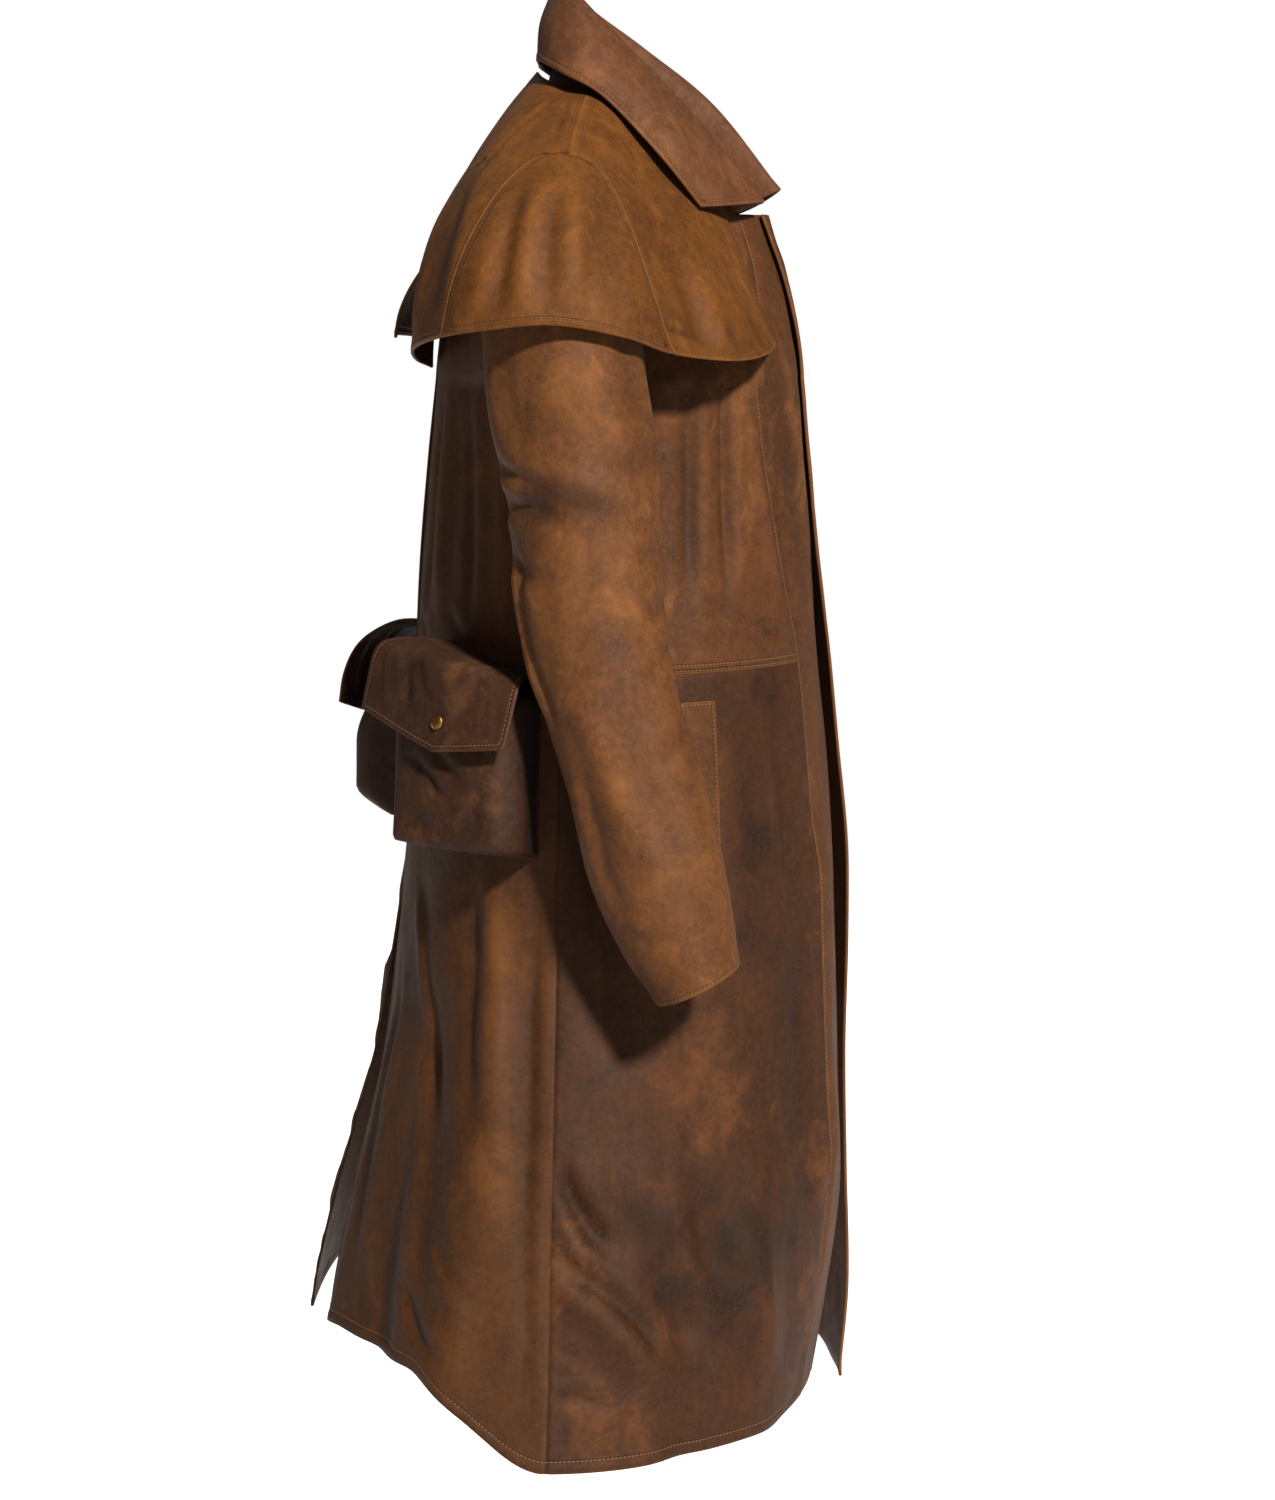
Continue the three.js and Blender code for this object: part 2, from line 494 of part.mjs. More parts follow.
function sewSleeve(side, facing) {
  const rings = [...steps(0, 5, 7), ...steps(5, 12, 8).slice(1)];
  for (const [piece, [from, to], columns] of [["upper", UPPER_SLEEVE, 11], ["under", UNDER_SLEEVE, 8]]) {
    const surface = (angle, ring) => sleevePoint(side, angle, ring);
    sew(`sleeve_${piece}_${side}`, wall(surface, -facing, steps(from, to, columns), rings, WALL), LEATHER);
  }
}

// A point of the collar. along runs from the left front end (-1) round the back (0) to the right one (1),
// up from the neck seam (0) over the roll (0.5) to the outer edge (1).
function collarPoint(along, up) {
  const row = between(COLLAR[along > 0 ? "right" : "left"], "along", Math.abs(along));
  const neck = neckline(Math.abs(along));
  const roll = new THREE.Vector3(row.rollX, row.rollY, row.rollZ);
  const edge = new THREE.Vector3(row.edgeX, row.edgeY, row.edgeZ);
  const out = new THREE.Vector3().subVectors(edge, new THREE.Vector3(0, 0, edge.z)).normalize();
  const stand = neck.clone().lerp(roll, 0.5).addScaledVector(out, -STAND_CROWN);
  const leaf = roll.clone().lerp(edge, 0.5).addScaledVector(out, LEAF_CROWN);
  const line = [neck, stand, roll, leaf, edge].map((p, i) => ({ at: i / 4, x: p.x, y: p.y, z: p.z }));
  const p = between(line, "at", up);
  return new THREE.Vector3(along > 0 ? -p.x : p.x, p.y, p.z);
}

function sewCollar() {
  const columns = steps(-1, 1, 8 * NECK_STEPS);
  sew("collar_stand", wall(collarPoint, -1, columns, steps(0, 0.5, 4), WALL, SEAM), COLLAR_LEATHER);
  sew("collar_leaf", wall(collarPoint, -1, columns, steps(0.5, 1, 5), WALL, SEAM), COLLAR_LEATHER);
}

// A point of the shoulder cape: turn from the front edge to the slit, fall from the neck (0) to the hem
// (1).
function capePoint(side, turn, fall) {
  const row = between(CAPE, "turn", turn);
  const part = ease((turn - SLIT.turn) / (1 - SLIT.turn)) * ease((fall - SLIT.fall) / (1 - SLIT.fall));
  const swing = side === "left" ? part : 0;
  const angle = (fall * Math.PI) / 2;
  const reach = Math.sin(angle) ** row.round;
  const drop = mix(1 - Math.max(Math.cos(angle), 0) ** row.round, reach, row.slope);
  const x = mix(row.neckX, row.hemX, reach) + part * SLIT[side];
  return new THREE.Vector3(
    side === "right" ? -x : x,
    mix(row.neckY, row.hemY, reach) + swing * SLIT.out,
    mix(row.neckZ, row.hemZ, drop) + swing * SLIT.up,
  );
}

// The turn at which a seam of the arm piece lies. Above the shoulder point both are the shoulder seam.
function capeSeam(which, fall) {
  const { turn, fall: start, half } = CAPE_SHOULDER;
  if (fall < start) return turn;
  const widen = ((fall - start) / (1 - start)) ** 0.4;
  return mix(turn + (which === "front" ? -half : half), CAPE_SEAMS[which], widen);
}

function sewCape(side, facing) {
  const start = CAPE_SHOULDER.fall;
  const falls = [0.03, 0.15, 0.27, start - 1e-3, start + 2e-3, 0.45, 0.52, 0.61, 0.73, 0.86, 0.995];
  const seam = (which) => (fall) => capeSeam(which, fall);
  const pieces = [
    ["front", () => 0, seam("front"), 8, falls],
    ["arm", seam("front"), seam("back"), 9, falls.filter((fall) => fall > start)],
    ["back", seam("back"), () => 1, 8, falls],
  ];
  for (const [piece, from, to, columns, rows] of pieces) {
    const surface = (u, fall) => capePoint(side, mix(from(fall), to(fall), u), fall);
    sew(`cape_${piece}_${side}`, wall(surface, -facing, steps(0, 1, columns), rows, CAPE_WALL), CAPE_LEATHER);
  }
}

// The skin of a hip pocket or of its flap, as a lift off the back panel. Both are placed by degrees round
// from the centre back and by drop.
function pocketPoint(side, facing, degrees, drop, lift) {
  const surface = (across, level) => bodyPoint(side, false, across, level);
  return lifted(surface, -facing, degrees / 90, CHEST - drop, lift);
}

// The bag's wall runs in from its side edges on the panel, out along the gussets and over the face. It is
// open at the top. edgewise and upward run from 0 to 1.
function bagPoint(side, facing, edgewise, upward) {
  const { from, to, deep, bottom, mouth, lean, sag, turned } = POCKET_SIDE[side];
  const { gusset, foot, full, round } = BAG;
  const reach = Math.min(edgewise, 1 - edgewise) / gusset;
  const face = clamp((edgewise - gusset * foot) / (1 - 2 * gusset * foot));
  const flare = (BAG.flare / HIP_DEGREE) * (1 - clamp(reach));
  const degrees = mix(from, to, face) + (edgewise < 0.5 ? -flare : flare);
  const climb = clamp((upward - gusset * sag) / (1 - gusset * sag));
  const top = mouth + (degrees - (from + to) / 2) * HIP_DEGREE * Math.sin(radians(turned));
  const drop = mix(bottom + BAG.flare * (1 - clamp(upward / gusset)), top, climb);
  const out = (ease(reach) * ease(upward / gusset)) ** round;
  const narrow = lean * ease((climb - full) / (1 - full));
  const stand = deep * (1 - narrow) + FLAT * (2 * face - 1) ** 2;
  return pocketPoint(side, facing, degrees, drop, ON_PANEL + stand * out);
}

// The flap comes off the panel above the bag, over its mouth and down in front of it, to a blunt point. It is
// turned in the panel, so that its front end hangs lower.
function flapPoint(side, facing, edgewise, downward) {
  const { from, to, deep, turned } = POCKET_SIDE[side];
  const run = between(FLAP_RUN[side], "down", downward);
  const half = ((to - from) * HIP_DEGREE) / 2 + FLAP.overhang * ease(downward / FLAP.level);
  const aside = mix(-half, half, edgewise);
  const off = Math.abs(edgewise - FLAP.peak) / (edgewise < FLAP.peak ? FLAP.peak : 1 - FLAP.peak);
  const below = run.below - FLAP.point * off * ease((downward - FLAP.level) / (1 - FLAP.level));
  const c = Math.cos(radians(turned));
  const s = Math.sin(radians(turned));
  const degrees = (from + to) / 2 + (aside * c - below * s) / HIP_DEGREE;
  const drop = FLAP.top + aside * s + below * c;
  const stand = deep + FLAP.clear + FLAT * (2 * edgewise - 1) ** 2;
  return pocketPoint(side, facing, degrees, drop, FLAP_SEAM + stand * run.out);
}

function sewPocket(side, facing) {
  const bagColumns = [0, 0.08, 0.16, 0.24, 0.35, 0.5, 0.65, 0.76, 0.84, 0.92, 1];
  const bagRows = [0, 0.08, 0.16, 0.24, 0.42, 0.6, 0.8, 1];
  const bag = (u, v) => bagPoint(side, facing, u, v);
  sew(`pocket_bag_${side}`, wall(bag, -facing, bagColumns, bagRows, WALL), DARK_LEATHER);
  const flap = (u, v) => flapPoint(side, facing, u, v);
  const flapRows = [0, 0.14, 0.28, 0.4, 0.5, 0.66, 0.83, 1];
  sew(`pocket_flap_${side}`, wall(flap, facing, steps(0, 1, 8), flapRows, WALL), DARK_LEATHER);

  // Snap cap: a low dome, its foot just clear of the flap
  const foot = lifted(flap, facing, FLAP.peak, SNAP.down, WALL / 2 + SNAP.off);
  const axis = lifted(flap, facing, FLAP.peak, SNAP.down, WALL + SNAP.off).sub(foot);
  const dome = [[0, 0], [0.9, 0], [1, 0.2], [0.93, 0.5], [0.6, 0.85], [0, 1]];
  const profile = dome.map(([out, up]) => new THREE.Vector2(out * SNAP.radius, up * SNAP.thick));
  const cap = new THREE.LatheGeometry(profile, SNAP_SIDES);
  const up = new THREE.Vector3(0, 1, 0);
  cap.applyQuaternion(new THREE.Quaternion().setFromUnitVectors(up, axis.normalize()));
  cap.translate(foot.x, foot.y, foot.z);
  sew(`snap_${side}`, cap, BRASS);
}

// A welt lies on the front skirt, turned in along its rear edge. Placed by degrees round from the centre
// front.
function sewWelt(side, facing) {
  const skin = (across, level) => bodyPoint(side, true, across, level);
  const { from, to, top, bottom, lift } = WELT;
  const surface = (u, drop) => lifted(skin, facing, mix(from, to, u) / 90, CHEST - drop, lift);
  const welt = wall(surface, -facing, steps(0, 1, 3), steps(top, bottom, 8), WALL);
  sew(`pocket_welt_${side}`, welt, DARK_LEATHER);
}

for (const [side, facing] of [["right", -1], ["left", 1]]) {
  sewBody(side, facing);
  sewSleeve(side, facing);
  sewCape(side, facing);
  sewPocket(side, facing);
  sewWelt(side, facing);
}
sewCollar();

export default coat;
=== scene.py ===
import math

import bpy
import numpy as np
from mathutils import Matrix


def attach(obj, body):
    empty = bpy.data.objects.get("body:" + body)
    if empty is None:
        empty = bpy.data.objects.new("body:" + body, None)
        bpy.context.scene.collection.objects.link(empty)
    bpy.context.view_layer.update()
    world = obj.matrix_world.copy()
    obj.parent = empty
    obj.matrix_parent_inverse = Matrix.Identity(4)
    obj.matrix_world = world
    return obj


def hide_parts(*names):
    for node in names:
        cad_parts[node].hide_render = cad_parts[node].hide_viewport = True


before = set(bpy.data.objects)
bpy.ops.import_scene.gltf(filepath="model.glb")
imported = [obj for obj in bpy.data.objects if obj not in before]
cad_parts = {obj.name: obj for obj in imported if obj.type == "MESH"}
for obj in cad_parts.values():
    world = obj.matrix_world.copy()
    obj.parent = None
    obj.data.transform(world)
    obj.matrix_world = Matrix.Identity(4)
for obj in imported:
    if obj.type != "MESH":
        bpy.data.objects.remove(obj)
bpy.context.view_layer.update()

# The coat's sizes, the same as its solids'
WALL = 2.0
SEAM = 0.3
CHEST, WAIST = 235.0, 458.0
HEM, HEM_RISE, HEM_DIP, CORNER_DIP = 1062.0, 64.0, 20.0, 15.0
THROAT_STRIP, YOKE_START, LAP, LAP_REACH = 46.0, -160.0, 2.8, 45.0
SHOULDER_TIP, TIP_DROP, UNDERARM, CHEST_CUT = 197.0, 58.0, 185.0, 14.0
ARM_FRONT, ARM_BACK, ARM_LOW, ARM_HIGH = 40.0, 60.0, 22.0, 30.0
YOKE_FLAT, YOKE_RUN, YOKE_BLEND = 0.1, 1.25, 6
CORNER_REACH, HEM_REACH = 0.3, 0.4
NECK_SIDE, THROAT, NAPE, SHOULDER_SEAM = 76.0, 0.66, 0.9, 0.995
COLLAR_INSIDE, COLLAR_BELOW, NECK_CENTRE = 2.7, 1.5, -50.0
LEAF_CROWN, STAND_CROWN = 9.0, 5.0
HIP_DEGREE, ON_PANEL, FLAP_SEAM = 3.6, 2.6, 1.4
MESH = 5.0  # spacing of the cloth's points
STEP = 1e-3  # share of a surface over which its slope is measured
BEAD = 0.5  # how far a rim's middle stands out
FAR = 99.0  # further from a stitched edge than any stitch

# Relief of the leather: it fades out near a rim, fine waves ride on broad ones, and turned edges stand out
RIM_FADE, RIM_LEFT = 14, 0.12
LATTICE, WAVE_SHIFT = 64, 300
FINE = dict(length=19, stretch=1.7, share=0.35)
CREASE_GAIN = 1.5
CREASE = dict(run_on=0.12, fade=0.4, beside=0.4, away=1.8, spread=1.6)
CRUMPLE = dict(start=-400, fade=120, length=17, stretch=1.1, high=5, out=2)
TURNED = dict(out=0.7, step=3)


def table(names, block):
    """Rows of numbers under named columns, as one array for each column."""
    rows = [line.split() for line in block.strip().splitlines()]
    return dict(zip(names.split(), np.array(rows, float).T))


SECTION_NAMES = "drop front side back half edge strip vent"
SECTIONS = {
    "right": table(SECTION_NAMES, """
    235 -160 22 134 185 -12 116 8
    300 -166 24 141 186 -12 112 14
    380 -173 27 148 193 -10 104 20
    458 -178 30 153 206 6 92 22
    540 -186 32 156 217 14 95 22
    620 -191 33 162 226 20 96 22
    700 -193 34 171 236 24 98 22
    800 -195 36 185 252 28 100 22
    900 -198 38 208 270 30 102 22
    1000 -186 40 229 288 32 104 22
    1065 -175 42 233 298 34 106 22
    """),
    "left": table(SECTION_NAMES, """
    235 -160 22 136 185 -12 116 -8
    300 -166 24 143 186 -12 112 -14
    380 -174 27 150 193 -10 104 -20
    458 -184 30 154 206 0 92 -22
    540 -193 32 158 217 8 95 -22
    620 -202 33 161 226 14 96 -21
    700 -204 34 175 236 18 98 -14
    800 -203 36 193 252 22 100 -8
    900 -205 38 222 270 22 102 -5
    1000 -205 40 246 288 8 104 -4
    1065 -198 42 249 298 -12 106 -4
    """),
}
YOKE_NAMES = "rise out up"
YOKE_FRONT = table(YOKE_NAMES, """
    0 -160 -235
    0.3 -154 -182
    0.55 -141 -128
    0.75 -118 -76
    0.9 -62 -18
    1 -11 28
""")
YOKE_BACK = table(YOKE_NAMES, """
    0 134 -235
    0.25 128 -180
    0.5 113 -118
    0.7 90 -62
    0.85 60 -12
    0.9 46 6
    1 -11 28
""")
SLEEVE = table("ring outX outZ inX inZ front back tilt", """
    0 198 -58 186 -235 -14 86 0
    1 232 -74 190 -243 -20 87 0
    2 263 -104 192 -250 -26 88 0
    3 283 -150 194 -258 -31 87 0
    4 293 -205 196 -270 -36 84 0
    5 300 -262 200 -290 -41 78 0
    6 306 -323 207 -330 -46 67 0
    7 313 -395 216 -397 -48 61 2
    8 320 -460 226 -460 -56 45 5
    9 327 -535 236 -535 -77 21 10
    10 331 -595 244 -595 -91 5 13
    11 332 -642 248 -642 -99 -18 15
    12 332 -680 250 -680 -104 -44 15
""")
COLLAR_NAMES = "along rollX rollY rollZ edgeX edgeY edgeZ"
COLLAR = {
    "right": table(COLLAR_NAMES, """
    0 0 31 88 0 51 20
    0.2 40 26 80 62 49 18
    0.4 67 11 61 104 29 5
    0.6 74 -20 29 126 -2 -14
    0.8 66 -74 -26 130 -44 -57
    1 33 -130 -92 116 -78 -98
    """),
    "left": table(COLLAR_NAMES, """
    0 0 31 88 0 51 20
    0.2 40 25 81 62 49 18
    0.4 68 4 64 105 26 6
    0.6 77 -34 37 129 -12 -8
    0.8 72 -92 -10 134 -58 -48
    1 40 -146 -80 116 -98 -104
    """),
}
CAPE = table("turn neckX neckY neckZ hemX hemY hemZ round slope", """
    0 57 -84.6 -69 100 -137 -205 1.1 1
    0.12 71 -59 -45 156 -126 -213 1.1 0.92
    0.22 78 -34 -26 208 -99 -216 1 0.86
    0.3 81 -17 -13 246 -55 -211 0.95 0.64
    0.38 82 -4 -6 292 -20 -199 0.9 0.46
    0.5 81 7 -3 309 34 -190 0.86 0.32
    0.6 77 20 -2 296 84 -194 0.88 0.32
    0.68 70 30 3 264 116 -199 0.9 0.36
    0.8 51 40 10 184 142 -208 0.94 0.42
    0.9 26 45 16 92 146 -218 0.94 0.42
    1 0.1 47 19 0.1 139 -226 0.94 0.4
""")
CAPE_SHOULDER = dict(turn=0.49, fall=0.4, half=0.03)
CAPE_SEAMS = dict(front=0.3, back=0.68)
SLIT = dict(fall=0.48, turn=0.72, right=20, left=-6, out=30, up=24)
FOLD_NAMES = "around drop around_end drop_end wide deep"
FOLDS = {
    "right": table(FOLD_NAMES, """
    22 600 20 860 26 7
    47 830 40 1070 34 6
    63 860 60 1070 30 -7
    84 850 62 960 22 -6
    86 905 58 1030 22 6
    112 700 116 1070 38 8
    134 720 142 1070 34 -8
    158 760 160 1070 30 7
    """),
    "left": table(FOLD_NAMES, """
    24 640 22 1070 32 -6
    44 760 40 1070 34 8
    66 800 64 1070 32 -7
    88 780 86 1070 36 8
    114 740 118 1070 34 -8
    140 700 144 1070 36 8
    """),
}
POCKET_SIDE = {
    "right": dict(start=44, end=81, deep=46, bottom=590, mouth=464, lean=0, sag=0.9, turned=9),
    "left": dict(start=17, end=54, deep=58, bottom=604, mouth=474, lean=0.44, sag=0.5, turned=7),
}
FLAT = 8  # how much further out a pocket's ends stand than its middle
BAG = dict(gusset=0.24, foot=0.55, full=0.4, round=0.8, flare=6)
FLAP = dict(top=447, peak=0.58, point=14, clear=6, overhang=7, level=0.4)
RUN_NAMES = "down out below"
FLAP_RUN = {
    "right": table(RUN_NAMES, """
    0 0 0
    0.25 0.48 0
    0.45 0.88 4
    0.58 1.02 14
    0.8 1.08 42
    1 1.12 70
    """),
    "left": table(RUN_NAMES, """
    0 0 0
    0.25 0.34 2
    0.45 0.66 15
    0.6 0.83 32
    0.8 0.94 60
    1 0.97 88
    """),
}
WELT = dict(top=480, bottom=645, start=56, end=64.3, lift=2.4)


# Arithmetic on whole arrays
def mix(a, b, t):
    """a where t is 0, b where it is 1."""
    return a + (b - a) * t


def clamp(t):
    """t held between 0 and 1."""
    return np.clip(t, 0, 1)


def ease(t):
    """3t² - 2t³, from 0 to 1 with flat ends."""
    t = clamp(t)
    return t * t * (3 - 2 * t)


def vector(x, y, z):
    """Three arrays as one array of points."""
    return np.stack(np.broadcast_arrays(np.asarray(x, float), y, z), axis=-1)


def unit(v):
    """Vectors divided by their lengths."""
    return v / np.maximum(np.linalg.norm(v, axis=-1, keepdims=True), 1e-12)


def cubic(b, c, slope_b, slope_c, t):
    """The cubic from b at t = 0 to c at t = 1 with a slope given at each end."""
    start = (1 + 2 * t) * (1 - t) ** 2 * b + t * (1 - t) ** 2 * slope_b
    return start + t * t * (3 - 2 * t) * c + t * t * (t - 1) * slope_c


def between(rows, key, at):
    """Values between a table's rows, on cubics whose slope at a row is that between its neighbours."""
    keys = rows[key]
    at = np.asarray(at, float)
    last = len(keys) - 1
    i = np.clip(np.searchsorted(keys, at, side="left") - 1, 0, last - 1)
    before = np.maximum(i - 1, 0)
    after = np.minimum(i + 2, last)
    span = keys[i + 1] - keys[i]
    t = clamp((at - keys[i]) / span)
    found = {}
    for name, column in rows.items():
        b, c = column[i], column[i + 1]
        slope_b = (c - column[before]) / np.maximum(keys[i + 1] - keys[before], 1e-9) * span
        slope_c = (column[after] - b) / np.maximum(keys[after] - keys[i], 1e-9) * span
        found[name] = cubic(b, c, slope_b, slope_c, t)
    return found


# The body
def fold_depth(side, around, drop, half):
    """Each fold is a line: a bell curve of the distance from it, faded in below its start."""
    reach = math.radians(1) * half
    out = 0
    for at, start, at_end, end, wide, deep in zip(*FOLDS[side].values()):
        along_x = (at_end - at) * reach
        along_z = end - start
        to_x = (around - at) * reach
        to_z = drop - start
        t = clamp((to_x * along_x + to_z * along_z) / (along_x**2 + along_z**2))
        away = np.hypot(to_x - t * along_x, to_z - t * along_z) / wide
        out = out + deep * np.exp(-away * away) * ease((drop - start + wide) / (2.5 * wide))
    return out


def fullness(rise):
    """How round the yoke's rows are."""
    return mix(1, YOKE_FLAT, ease(rise * YOKE_RUN))


def armhole(forward, rise):
    """The armhole's edge: a sine swell to the front or back of a line from the underarm to the shoulder."""
    swell = np.sin(np.pi * rise)
    return (
        mix(UNDERARM, SHOULDER_TIP, rise) - CHEST_CUT * swell,
        mix(ARM_LOW, ARM_HIGH, rise) + (-ARM_FRONT if forward else ARM_BACK) * swell,
        -(CHEST + TIP_DROP) / 2 - (CHEST - TIP_DROP) / 2 * np.cos(np.pi * rise),
    )


def section(side, level):
    """The body's section at a level, which above the chest is the chest's own."""
    return between(SECTIONS[side], "drop", CHEST - np.minimum(level, 0))


def body_point(side, forward, across, level):
    """Below the underarm a quarter ellipse at each drop, moved out by the folds. Above it, a yoke row."""
    across, level = np.broadcast_arrays(np.asarray(across, float), np.asarray(level, float))
    sign = -1 if side == "right" else 1
    swing = across * np.pi / 2
    drop = CHEST - np.minimum(level, 0)
    row = section(side, level)
    far = row["front"] if forward else row["back"]
    degrees = across * 90 if forward else 180 - across * 90
    y = row["side"] + (far - row["side"]) * np.cos(swing)
    x = row["half"] * np.sin(swing)
    lean_x, lean_y = x / row["half"] ** 2, (y - row["side"]) / (far - row["side"]) ** 2
    lean = np.maximum(np.hypot(lean_x, lean_y), 1e-9)
    fold = fold_depth(side, degrees, drop, row["half"])
    low_y = y + fold * lean_y / lean + lap_shift(side, forward, x)
    low = vector(sign * (x + fold * lean_x / lean), low_y, -drop)
    rise = clamp(level)
    centre = between(YOKE_FRONT if forward else YOKE_BACK, "rise", rise)
    rim_x, rim_y, rim_z = armhole(forward, rise)
    round_ = fullness(rise)
    start = YOKE_START if forward else SECTIONS[side]["back"][0]
    out = mix(centre["out"], start, (1 - rise) ** YOKE_BLEND)
    x = rim_x * mix(across, np.sin(swing), round_)
    y = rim_y + (out - rim_y) * mix(1 - np.abs(across), np.cos(swing), round_)
    high = vector(sign * x, y + lap_shift(side, forward, x), mix(centre["up"], rim_z, across))
    return np.where((level < 0)[..., None], low, high)


def lap_shift(side, forward, x):
    """The left front lies over the right one near the centre."""
    if not forward:
        return 0
    return (-LAP if side == "left" else LAP) * ease((LAP_REACH - x) / LAP_REACH)


def across_at(side, x, level):
    """The share across at which a row lies x out from the centre."""
    rise = clamp(level)
    high = x / (armhole(True, rise)[0] * mix(1, np.pi / 2, fullness(rise)))
    low = np.arcsin(np.clip(x / section(side, level)["half"], -1, 1)) / (np.pi / 2)
    return np.where(level < 0, low, high)


def edge_x(side, level):
    """Where the front edge lies."""
    return section(side, level)["edge"]


def strip_x(side, level):
    """Where the front strip's seam lies."""
    strip = section(side, level)["strip"]
    return np.where(level < 0, strip, mix(strip, THROAT_STRIP, ease(level / THROAT)))


def vent_x(side, level):
    """Where the centre back edge lies."""
    vent = section(side, level)["vent"]
    return np.where(level < 0, vent, mix(vent, SEAM, level / NAPE))


def neck_front(start, rise):
    """How far out the neckline lies in front, at a rise above the throat."""
    return mix(start, NECK_SIDE, clamp((rise - THROAT) / (1 - THROAT)) ** 0.8)


def neck_back(rise):
    """How far out the neckline lies behind, at a rise above the nape: a quarter ellipse."""
    return NECK_SIDE * np.sqrt(1 - clamp((1 - rise) / (1 - NAPE)) ** 2)


def neckline(along):
    """The neckline from the centre back (0) over the shoulder (0.5) to the strip (1), for the stand."""
    rise = np.where(along < 0.5, 1 - (1 - NAPE) * np.cos(np.pi * along), mix(1, THROAT, 2 * along - 1))
    x_front = neck_front(THROAT_STRIP, rise)
    front = body_point("right", True, across_at("right", x_front, rise), rise)
    back = body_point("right", False, across_at("right", neck_back(rise), rise), rise)
    point = np.where((along >= 0.5)[..., None], front, back)
    inward = unit(vector(-point[..., 0], NECK_CENTRE - point[..., 1], 0 * along))
    point = point + inward * COLLAR_INSIDE
    return vector(-point[..., 0], point[..., 1], point[..., 2] - COLLAR_BELOW)


def hem_level(side, forward, across):
    """The hem is level in front but for the left corner, rises behind the side seams and dips at the vent."""
    corner = ease((CORNER_REACH - across) / CORNER_REACH)
    dip = CORNER_DIP * corner if side == "left" else 0
    rise = HEM_RISE * ease((1 - across) / HEM_REACH) - HEM_DIP * corner
    return CHEST - HEM + (-dip if forward else rise)


def panel(side, forward, inner, outer):
    """A panel of the body between two shares across: u runs from one to the other, v is the level."""

    def at(u, v):
        """The share across and the level, with the levels below the chest stretched to reach the hem."""
        across = mix(inner(v), outer(v), u)
        stretch = np.where(v < 0, hem_level(side, forward, across) / (CHEST - HEM), 1)
        return across, v * stretch

    return at


def sleeve_point(side, angle, ring):
    """Ellipses between each ring's outermost and innermost points."""
    row = between(SLEEVE, "ring", ring)
    c, s = np.cos(np.radians(angle)), np.sin(np.radians(angle))
    x = (row["outX"] + row["inX"]) / 2 + (row["outX"] - row["inX"]) / 2 * c
    z = (row["outZ"] + row["inZ"]) / 2 + (row["outZ"] - row["inZ"]) / 2 * c + row["tilt"] * s
    y = (row["front"] + row["back"]) / 2 + (row["front"] - row["back"]) / 2 * s
    return vector(-x if side == "right" else x, y, z)


def collar_point(along, up):
    """A cubic from the neck seam over the stand, the roll and the leaf's crown to its edge."""
    near, far = (between(COLLAR[side], "along", np.abs(along)) for side in ("right", "left"))
    row = {name: np.where(along > 0, near[name], far[name]) for name in near}
    neck = neckline(np.abs(along))
    roll = vector(row["rollX"], row["rollY"], row["rollZ"])
    edge = vector(row["edgeX"], row["edgeY"], row["edgeZ"])
    out = unit(edge * (1, 1, 0))
    line = [neck, (neck + roll) / 2 - STAND_CROWN * out, roll, (roll + edge) / 2 + LEAF_CROWN * out, edge]
    i = np.clip(np.ceil(up * 4).astype(int) - 1, 0, 3)
    t = clamp(up * 4 - i)[..., None]

    def pick(k):
        """The point of the line numbered k, held within it."""
        k = np.clip(k, 0, 4)
        return sum(np.where((k == n)[..., None], line[n], 0) for n in range(5))

    b, c = pick(i), pick(i + 1)
    slope_b = (c - pick(i - 1)) / np.where(i == 0, 1, 2)[..., None]
    slope_c = (pick(i + 2) - b) / np.where(i == 3, 1, 2)[..., None]
    p = cubic(b, c, slope_b, slope_c, t)
    return vector(np.where(along > 0, -1, 1) * p[..., 0], p[..., 1], p[..., 2])


def cape_point(side, turn, fall):
    """From the neck edge to the hem: a rounded quarter wave mixed with an even slope, parted at the slit."""
    row = between(CAPE, "turn", turn)
    part = ease((turn - SLIT["turn"]) / (1 - SLIT["turn"])) * ease((fall - SLIT["fall"]) / (1 - SLIT["fall"]))
    swing = part if side == "left" else 0
    reach = np.sin(fall * np.pi / 2) ** row["round"]
    drop = mix(1 - np.maximum(np.cos(fall * np.pi / 2), 0) ** row["round"], reach, row["slope"])
    x = mix(row["neckX"], row["hemX"], reach) + part * SLIT[side]
    y = mix(row["neckY"], row["hemY"], reach) + swing * SLIT["out"]
    z = mix(row["neckZ"], row["hemZ"], drop) + swing * SLIT["up"]
    return vector(-x if side == "right" else x, y, z)


def cape_seam(which, fall):
    """The turn of the arm piece's seams: one shoulder seam above, two that part below."""
    turn, start, half = CAPE_SHOULDER["turn"], CAPE_SHOULDER["fall"], CAPE_SHOULDER["half"]
    widen = clamp((fall - start) / (1 - start)) ** 0.4
    part = mix(turn + (-half if which == "front" else half), CAPE_SEAMS[which], widen)
    return np.where(fall < start, turn, part)


def moved_out(surface, u, v, lift):
    """Points of a surface moved along the cross product of its slopes, to the side that lift's sign says."""
    du = surface(u + STEP, v) - surface(u - STEP, v)
    dv = surface(u, v + STEP) - surface(u, v - STEP)
    return surface(u, v) + unit(np.cross(du, dv)) * np.asarray(lift)[..., None]


def pocket_point(side, degrees, drop, lift):
    """A place on the back panel, moved out by lift."""
    outward = 1 if side == "right" else -1
    return moved_out(lambda a, b: body_point(side, False, a, b), degrees / 90, CHEST - drop, outward * lift)


